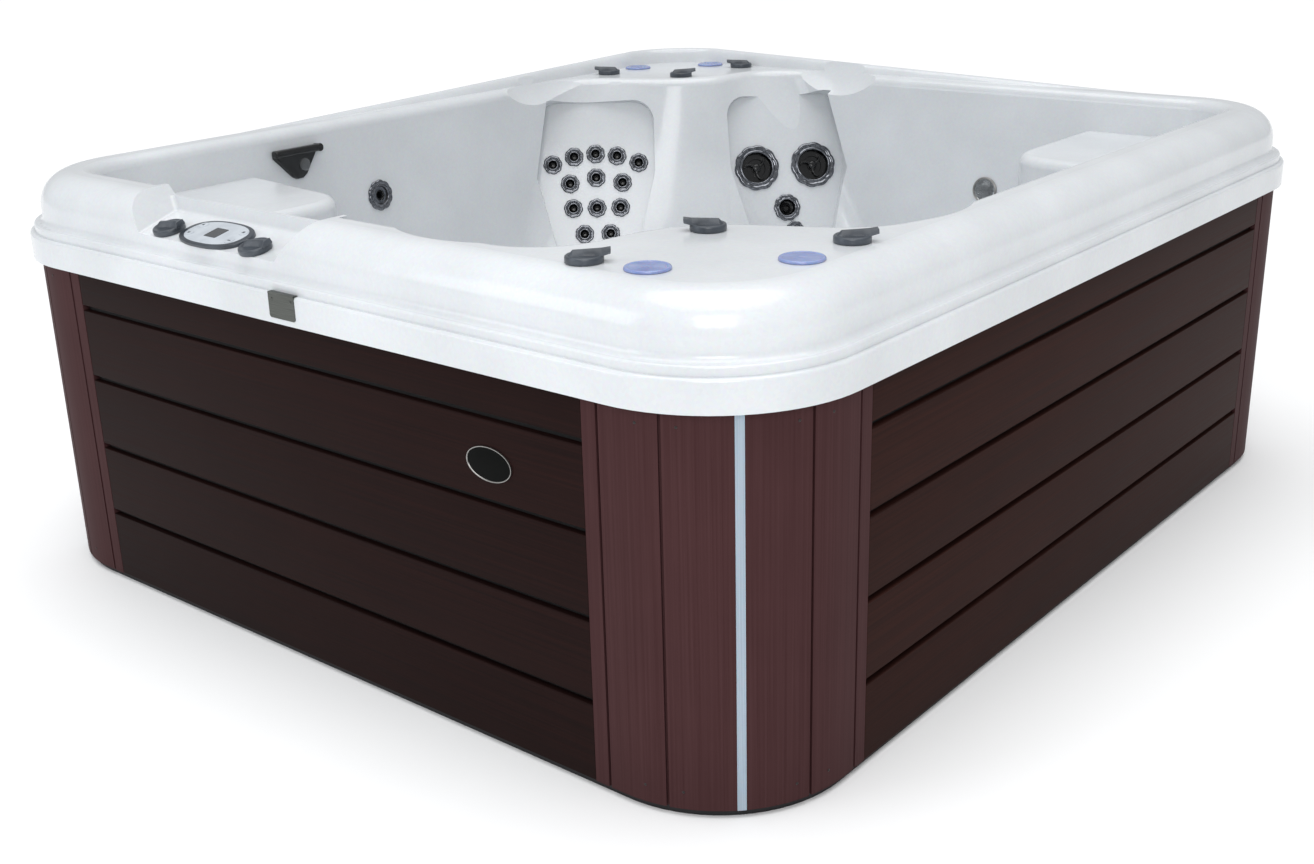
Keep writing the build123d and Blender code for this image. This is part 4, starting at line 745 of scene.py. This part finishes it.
# Turn in degrees, reach of the flag from the axis, and thickness of its end. The two on the ledge have
# a short thick end.
knobForms = {
    "knob_1": (-50, 40, 7), "knob_2": (130, 40, 7), "knob_3": (-50, 40, 7), "knob_4": (130, 40, 7),
    "knob_5": (-50, 40, 7), "knob_6": (130, 40, 7), "knob_7": (-78, 32, 11), "knob_8": (-78, 32, 11),
}
for body, form in knobForms.items():
    makeKnob(body, *form)
print("knobs made")


# Deck lights: a proud round lens with a stepped rim and fine rings on its face
deckLight = {
    "places": [(0.691, -0.989, 0.83), (0.846, -0.817, 0.83), (-0.691, 0.976, 0.83), (-0.83, 0.817, 0.83)],
    "rim": [(0, 0.4), (35.4, 0.4), (36.0, 1.2), (35.8, 3.2), (34.6, 4.7), (32.6, 5.2), (30.4, 5.0),
            (29.6, 4.2)],
    "ringRadius": 28.4, "ringPitch": 3.2, "ringLow": 4.2, "ringDepth": 0.5, "middleTop": 4.5, "steps": 64,
}


def deckLightProfile(settings):
    rings = []
    radius = settings["ringRadius"]
    while radius > settings["ringPitch"]:
        rings.append((radius, settings["ringLow"] + settings["ringDepth"]))
        rings.append((radius - settings["ringPitch"] / 2, settings["ringLow"]))
        radius -= settings["ringPitch"]
    return settings["rim"] + rings + [(0, settings["middleTop"])]


for index, place in enumerate(deckLight["places"]):
    bm = bmesh.new()
    spinProfile(bm, deckLightProfile(deckLight), deckLight["steps"])
    settle(bm, place, (0, 0, 1))
    finishPiece(bm, "deck_light_%d" % (index + 1), ["lensBlue"], "tub",
                ["deck_light_lenses"] if index == 0 else [], smoothAngle=60)
print("deck lights made")


# Control panel on the ledge: bezel, overlay and display window, all centred on one place
keypad = {
    "place": (-0.259, -1.058, 0.77172), "normal": (0, -0.23345, 0.97237),
    "halfLength": 88.0, "halfWidth": 47.0, "bulge": 0.82, "foot": 0.4, "bezelTop": 7.0, "bezelEdge": 2.4,
    "faceTop": 7.4, "faceDepth": 1.9, "faceShare": 0.86, "faceEdge": 0.3,
    "displaySide": 34.0, "displayTop": 7.9, "displayDepth": 3.0, "displayCorner": 2.5, "tolerance": 0.1,
}


def lensOutline(halfLength, halfWidth, bulge, count=64):
    # Points of a superellipse, fuller than an oval where the bulge is under 1
    points = []
    for step in range(count):
        across, up = cos(tau * step / count), sin(tau * step / count)
        x = halfLength * abs(across) ** bulge * (1 if across > 0 else -1)
        y = halfWidth * abs(up) ** bulge * (1 if up > 0 else -1)
        points.append((x, y))
    return points


def makeKeypad():
    settings = keypad
    bm = bmesh.new()
    outline = lensOutline(settings["halfLength"], settings["halfWidth"], settings["bulge"])
    plateFrom(bm, outline, settings["foot"], settings["bezelTop"])
    topEdges = edgesAbove(bm, settings["bezelTop"] - settings["tolerance"])
    roundEdges(bm, topEdges, settings["bezelEdge"], segments=4)
    settle(bm, settings["place"], settings["normal"])
    finishPiece(bm, "keypad_bezel", ["bezelGrey"], "tub", ["keypad_housing"])
    bm = bmesh.new()
    halfLength, halfWidth = (settings[key] * settings["faceShare"] for key in ("halfLength", "halfWidth"))
    outline = lensOutline(halfLength, halfWidth, settings["bulge"])
    plateFrom(bm, outline, settings["faceTop"] - settings["faceDepth"], settings["faceTop"])
    topEdges = edgesAbove(bm, settings["faceTop"] - settings["tolerance"])
    roundEdges(bm, topEdges, settings["faceEdge"], segments=2)
    settle(bm, settings["place"], settings["normal"])
    finishPiece(bm, "keypad_overlay", ["faceGrey"], "tub")
    bm = bmesh.new()
    side, depth = settings["displaySide"], settings["displayDepth"]
    window = box(bm, (side, side, depth), (0, 0, settings["displayTop"] - depth / 2))
    roundEdges(bm, edgesAlong(edgesOf(window), 2, depth / 2), settings["displayCorner"], segments=4)
    settle(bm, settings["place"], settings["normal"])
    finishPiece(bm, "keypad_display", ["display"], "tub", ["display_window"])


makeKeypad()

# Keys, each with a raised mark: triangles down and up, a bar and a square
keySymbols = {
    "key_1": [(-4, 2.5), (0, -4), (4, 2.5)],
    "key_2": [(-4, -2.5), (4, -2.5), (0, 4)],
    "key_3": [(-4, -1.4), (4, -1.4), (4, 1.4), (-4, 1.4)],
    "key_4": [(-3, -3), (3, -3), (3, 3), (-3, 3)],
}
keySettings = {
    "cap": [(0, 1.3), (9.3, 1.3), (9.3, 7.9), (9.0, 8.4), (8.2, 8.6), (0, 8.65)], "steps": 40,
    "symbol": (8.5, 8.7), "inkAbove": 8.68,
}


def makeKey(body):
    low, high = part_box(body)
    centre = (low + high) / 2
    normal = Vector(keypad["normal"])
    place = centre - normal * ((centre - Vector(keypad["place"])).dot(normal))
    bm = bmesh.new()
    spinProfile(bm, keySettings["cap"], keySettings["steps"])
    symbol = bmesh.new()
    plateFrom(symbol, keySymbols[body], *keySettings["symbol"])
    addCopy(bm, symbol)
    paint(bm, 1, lambda middle, face: middle.z > keySettings["inkAbove"])
    settle(bm, place, normal)
    finishPiece(bm, body + "_cap", ["faceGrey", "markDark"], body, [body])


for body in keySymbols:
    makeKey(body)
print("control panel made")


# Waterfall spout on the left wall: a thick bar over a body that narrows to a rounded tip
spout = {
    "place": (-0.83387, -0.422, 0.770), "normal": (0.99481, 0, 0.10174), "foot": 0.4,
    "bar": (137.0, 17.0, 22.0), "barEdge": 5.5,
    "body": [(-21, -49), (-10, -55), (8, -55), (21, -47), (55, 2), (55, 9), (-66, 9), (-66, -1)],
    "bodyTop": 12.0, "bodyEdge": 2.4, "bodySides": 4.0,
    "face": 5.0, "faceShare": 0.94, "leanFrom": 20.0, "lean": 0.12,
    "cap": [(0, 0), (8.4, 0), (9.4, 1.2), (9.4, 20), (8.2, 21.6), (0, 22.2)], "capPlace": (58.9, 8.5, 0.4),
    "lens": [(0, 8.5), (8.25, 8.5), (15.0, 11.6), (15.0, 13.4), (12.9, 15.2), (7.5, 16.4), (0, 16.8)],
    "lensPlace": (14.0, -24.0, 0),
}


def makeSpout():
    bm = bmesh.new()
    length, width, proud = spout["bar"]
    bar = box(bm, (length, width, proud), (0, width / 2, proud / 2 + spout["foot"]))
    roundEdges(bm, edgesOf(bar), spout["barEdge"], segments=5)
    body = bmesh.new()
    plateFrom(body, spout["body"], spout["foot"], spout["bodyTop"])
    for vert in body.verts:
        # The face leans in towards the tip
        if vert.co.z > spout["face"] * mm:
            vert.co.x *= spout["faceShare"]
            vert.co.z += (vert.co.y + spout["leanFrom"] * mm) * spout["lean"]
    roundEdges(body, edgesAbove(body, spout["bodySides"]), spout["bodyEdge"], segments=4)
    addCopy(bm, body)
    cap = bmesh.new()
    spinProfile(cap, spout["cap"], 32)
    bmesh.ops.translate(cap, vec=Vector(spout["capPlace"]) * mm, verts=cap.verts)
    addCopy(bm, cap)
    settle(bm, spout["place"], spout["normal"])
    finishPiece(bm, "waterfall_spout_body", ["jetBlack"], "tub", ["waterfall_spout"])
    bm = bmesh.new()
    spinProfile(bm, spout["lens"], 40)
    bmesh.ops.translate(bm, vec=Vector(spout["lensPlace"]) * mm, verts=bm.verts)
    settle(bm, spout["place"], spout["normal"])
    finishPiece(bm, "waterfall_lens_dome", ["lensClear"], "tub", ["waterfall_lens"],
                smoothAngle=60)


makeSpout()
print("waterfall made")


# Well light: a ring, a fluted reflector and a clear lens in front of it
wellLight = {
    "place": (0.214, 0.9589, 0.565), "normal": (0, -0.99481, 0.10174), "steps": 72,
    "ring": [(25.5, -29), (25.5, 0.4), (33.6, 0.4), (34.0, 1.6), (33.4, 4.0), (31.6, 5.2), (29.6, 5.0),
             (28.4, 3.6), (27.6, 0.8), (26.0, 0.8)],
    "dish": [(26.6, 0.9), (22.0, -2.6), (14.0, -7.0), (6.0, -9.4), (0, -10.0)],
    "flutes": 24, "stepsPerFlute": 4, "fluteDepth": 1.1, "flutedFrom": 4.0, "flutedTo": 26.0,
    "lens": [(0, 1.4), (27.0, 1.4), (28.0, 2.4), (24.0, 3.8), (12.0, 4.9), (0, 5.2)],
}


def makeWellLight():
    settings = wellLight
    bm = bmesh.new()
    spinProfile(bm, settings["ring"], settings["steps"])
    dish = bmesh.new()
    spinProfile(dish, settings["dish"], settings["flutes"] * settings["stepsPerFlute"])
    for vert in dish.verts:
        if settings["flutedFrom"] < vert.co.xy.length / mm < settings["flutedTo"]:
            angle = vert.co.xy.angle_signed(Vector((1, 0)), 0.0)
            vert.co.z += settings["fluteDepth"] * mm * cos(settings["flutes"] * angle)
    addCopy(bm, dish)
    settle(bm, settings["place"], settings["normal"])
    finishPiece(bm, "well_light_ring", ["rimSteel"], "tub", ["well_light"], smoothAngle=30)
    bm = bmesh.new()
    spinProfile(bm, settings["lens"], settings["steps"])
    settle(bm, settings["place"], settings["normal"])
    finishPiece(bm, "well_light_lens", ["lensClear"], "tub", smoothAngle=60)


makeWellLight()
print("well light made")


# Blank oval badge: a metal rim round a sunk dark field with a crowned middle
badge = {
    "place": (0.461, -1.1113, 0.511), "halfLength": 49.0, "halfWidth": 29.0, "top": 3.0, "steps": 72,
    "rim": 1.2, "rimSlope": 0.6, "field": 2.0, "fieldInset": 1.6, "crownInset": 7.0, "crown": 0.7,
    "middleRadius": 20.0,
}


def makeBadge():
    halfLength, halfWidth = badge["halfLength"], badge["halfWidth"]
    angles = [tau * step / badge["steps"] for step in range(badge["steps"])]
    bm = bmesh.new()
    plateFrom(bm, [(halfLength * cos(angle), halfWidth * sin(angle)) for angle in angles], 0, badge["top"])
    topFace = max(bm.faces, key=lambda face: face.calc_center_median().z)
    for thickness, depth in ((badge["rim"], 0), (badge["rimSlope"], badge["field"] - badge["top"]),
                             (badge["crownInset"], badge["crown"])):
        bmesh.ops.inset_region(bm, faces=[topFace], thickness=thickness * mm, depth=depth * mm)

    def inField(centre, face):
        inset = badge["fieldInset"]
        reach = (centre.x / (halfLength - inset)) ** 2 + (centre.y / (halfWidth - inset)) ** 2
        return centre.xy.length < badge["middleRadius"] or (face.normal.z > 0.5 and reach < 1)

    paint(bm, 1, inField)
    settle(bm, badge["place"], (0, -1, 0))
    finishPiece(bm, "oval_badge", ["rimSteel", "badge"], "service_panel", ["badge_plate"],
                smoothAngle=25)


makeBadge()


# Cover clip on the lip: a plate with rounded lower corners, a hook over the lip and two rivets
clip = {
    "x": -2.0, "faceY": -1125.2, "width": 68.0, "bottom": 674.0, "top": 719.3, "thickness": 2.0,
    "corner": 5.0, "hookY": -1122.2, "hookDepth": 9.6, "hookEdge": 0.8, "longEdge": 30.0,
    "rivet": [(0, -0.5), (2.6, -0.5), (2.6, 0.3), (1.82, 0.9), (0, 1.1)], "rivetSteps": 20,
    "rivetInset": 9.0, "rivetHeight": 708.0,
}


def makeClip():
    width, thickness, height = clip["width"], clip["thickness"], clip["top"] - clip["bottom"]
    middle = (clip["x"], clip["faceY"] - thickness / 2, clip["bottom"] + height / 2)
    bm = bmesh.new()
    plate = box(bm, (width, thickness, height), middle)
    lower = [edge for edge in edgesAlong(edgesOf(plate), 1, thickness / 2)
             if edge.verts[0].co.z < middle[2] * mm]
    roundEdges(bm, lower, clip["corner"], segments=5)
    hook = box(bm, (width, clip["hookDepth"], thickness),
               (clip["x"], clip["hookY"], clip["top"] - thickness / 2))
    roundEdges(bm, edgesAlong(edgesOf(hook), 0, clip["longEdge"]), clip["hookEdge"])
    for side in (-1, 1):
        rivet = bmesh.new()
        spinProfile(rivet, clip["rivet"], clip["rivetSteps"])
        x = clip["x"] + side * (width / 2 - clip["rivetInset"])
        settle(rivet, Vector((x, clip["faceY"] - thickness, clip["rivetHeight"])) * mm, (0, -1, 0))
        addCopy(bm, rivet)
    finishPiece(bm, "lip_clip", ["clipSteel"], "tub", ["cover_clip"], smoothAngle=30)


makeClip()
print("badge and clip made")


# CAD nodes that keep their shape get their finish here
cadFinishes = {
    "acrylic_shell": "shell", "base_pan": "panBlack", "cabinet_frame": "timber", "corner_panels": "boardUp",
    "corner_light_strips": "strip", "jet_and_valve_bodies": "pipe", "suction_covers": "coverWhite",
    "filter_housing": "pumpBlack", "filter_cartridge": "paper", "skimmer_weir": "coverWhite",
    "pump_body": "pumpBlack", "pump_motor": "motor", "pump_impeller": "impeller", "spa_pack": "boxGrey",
    "plumbing": "pipe",
}
for name, key in cadFinishes.items():
    mesh = nodes[name].data
    mesh.materials.clear()
    mesh.materials.append(materials[key])
print("CAD nodes dressed")
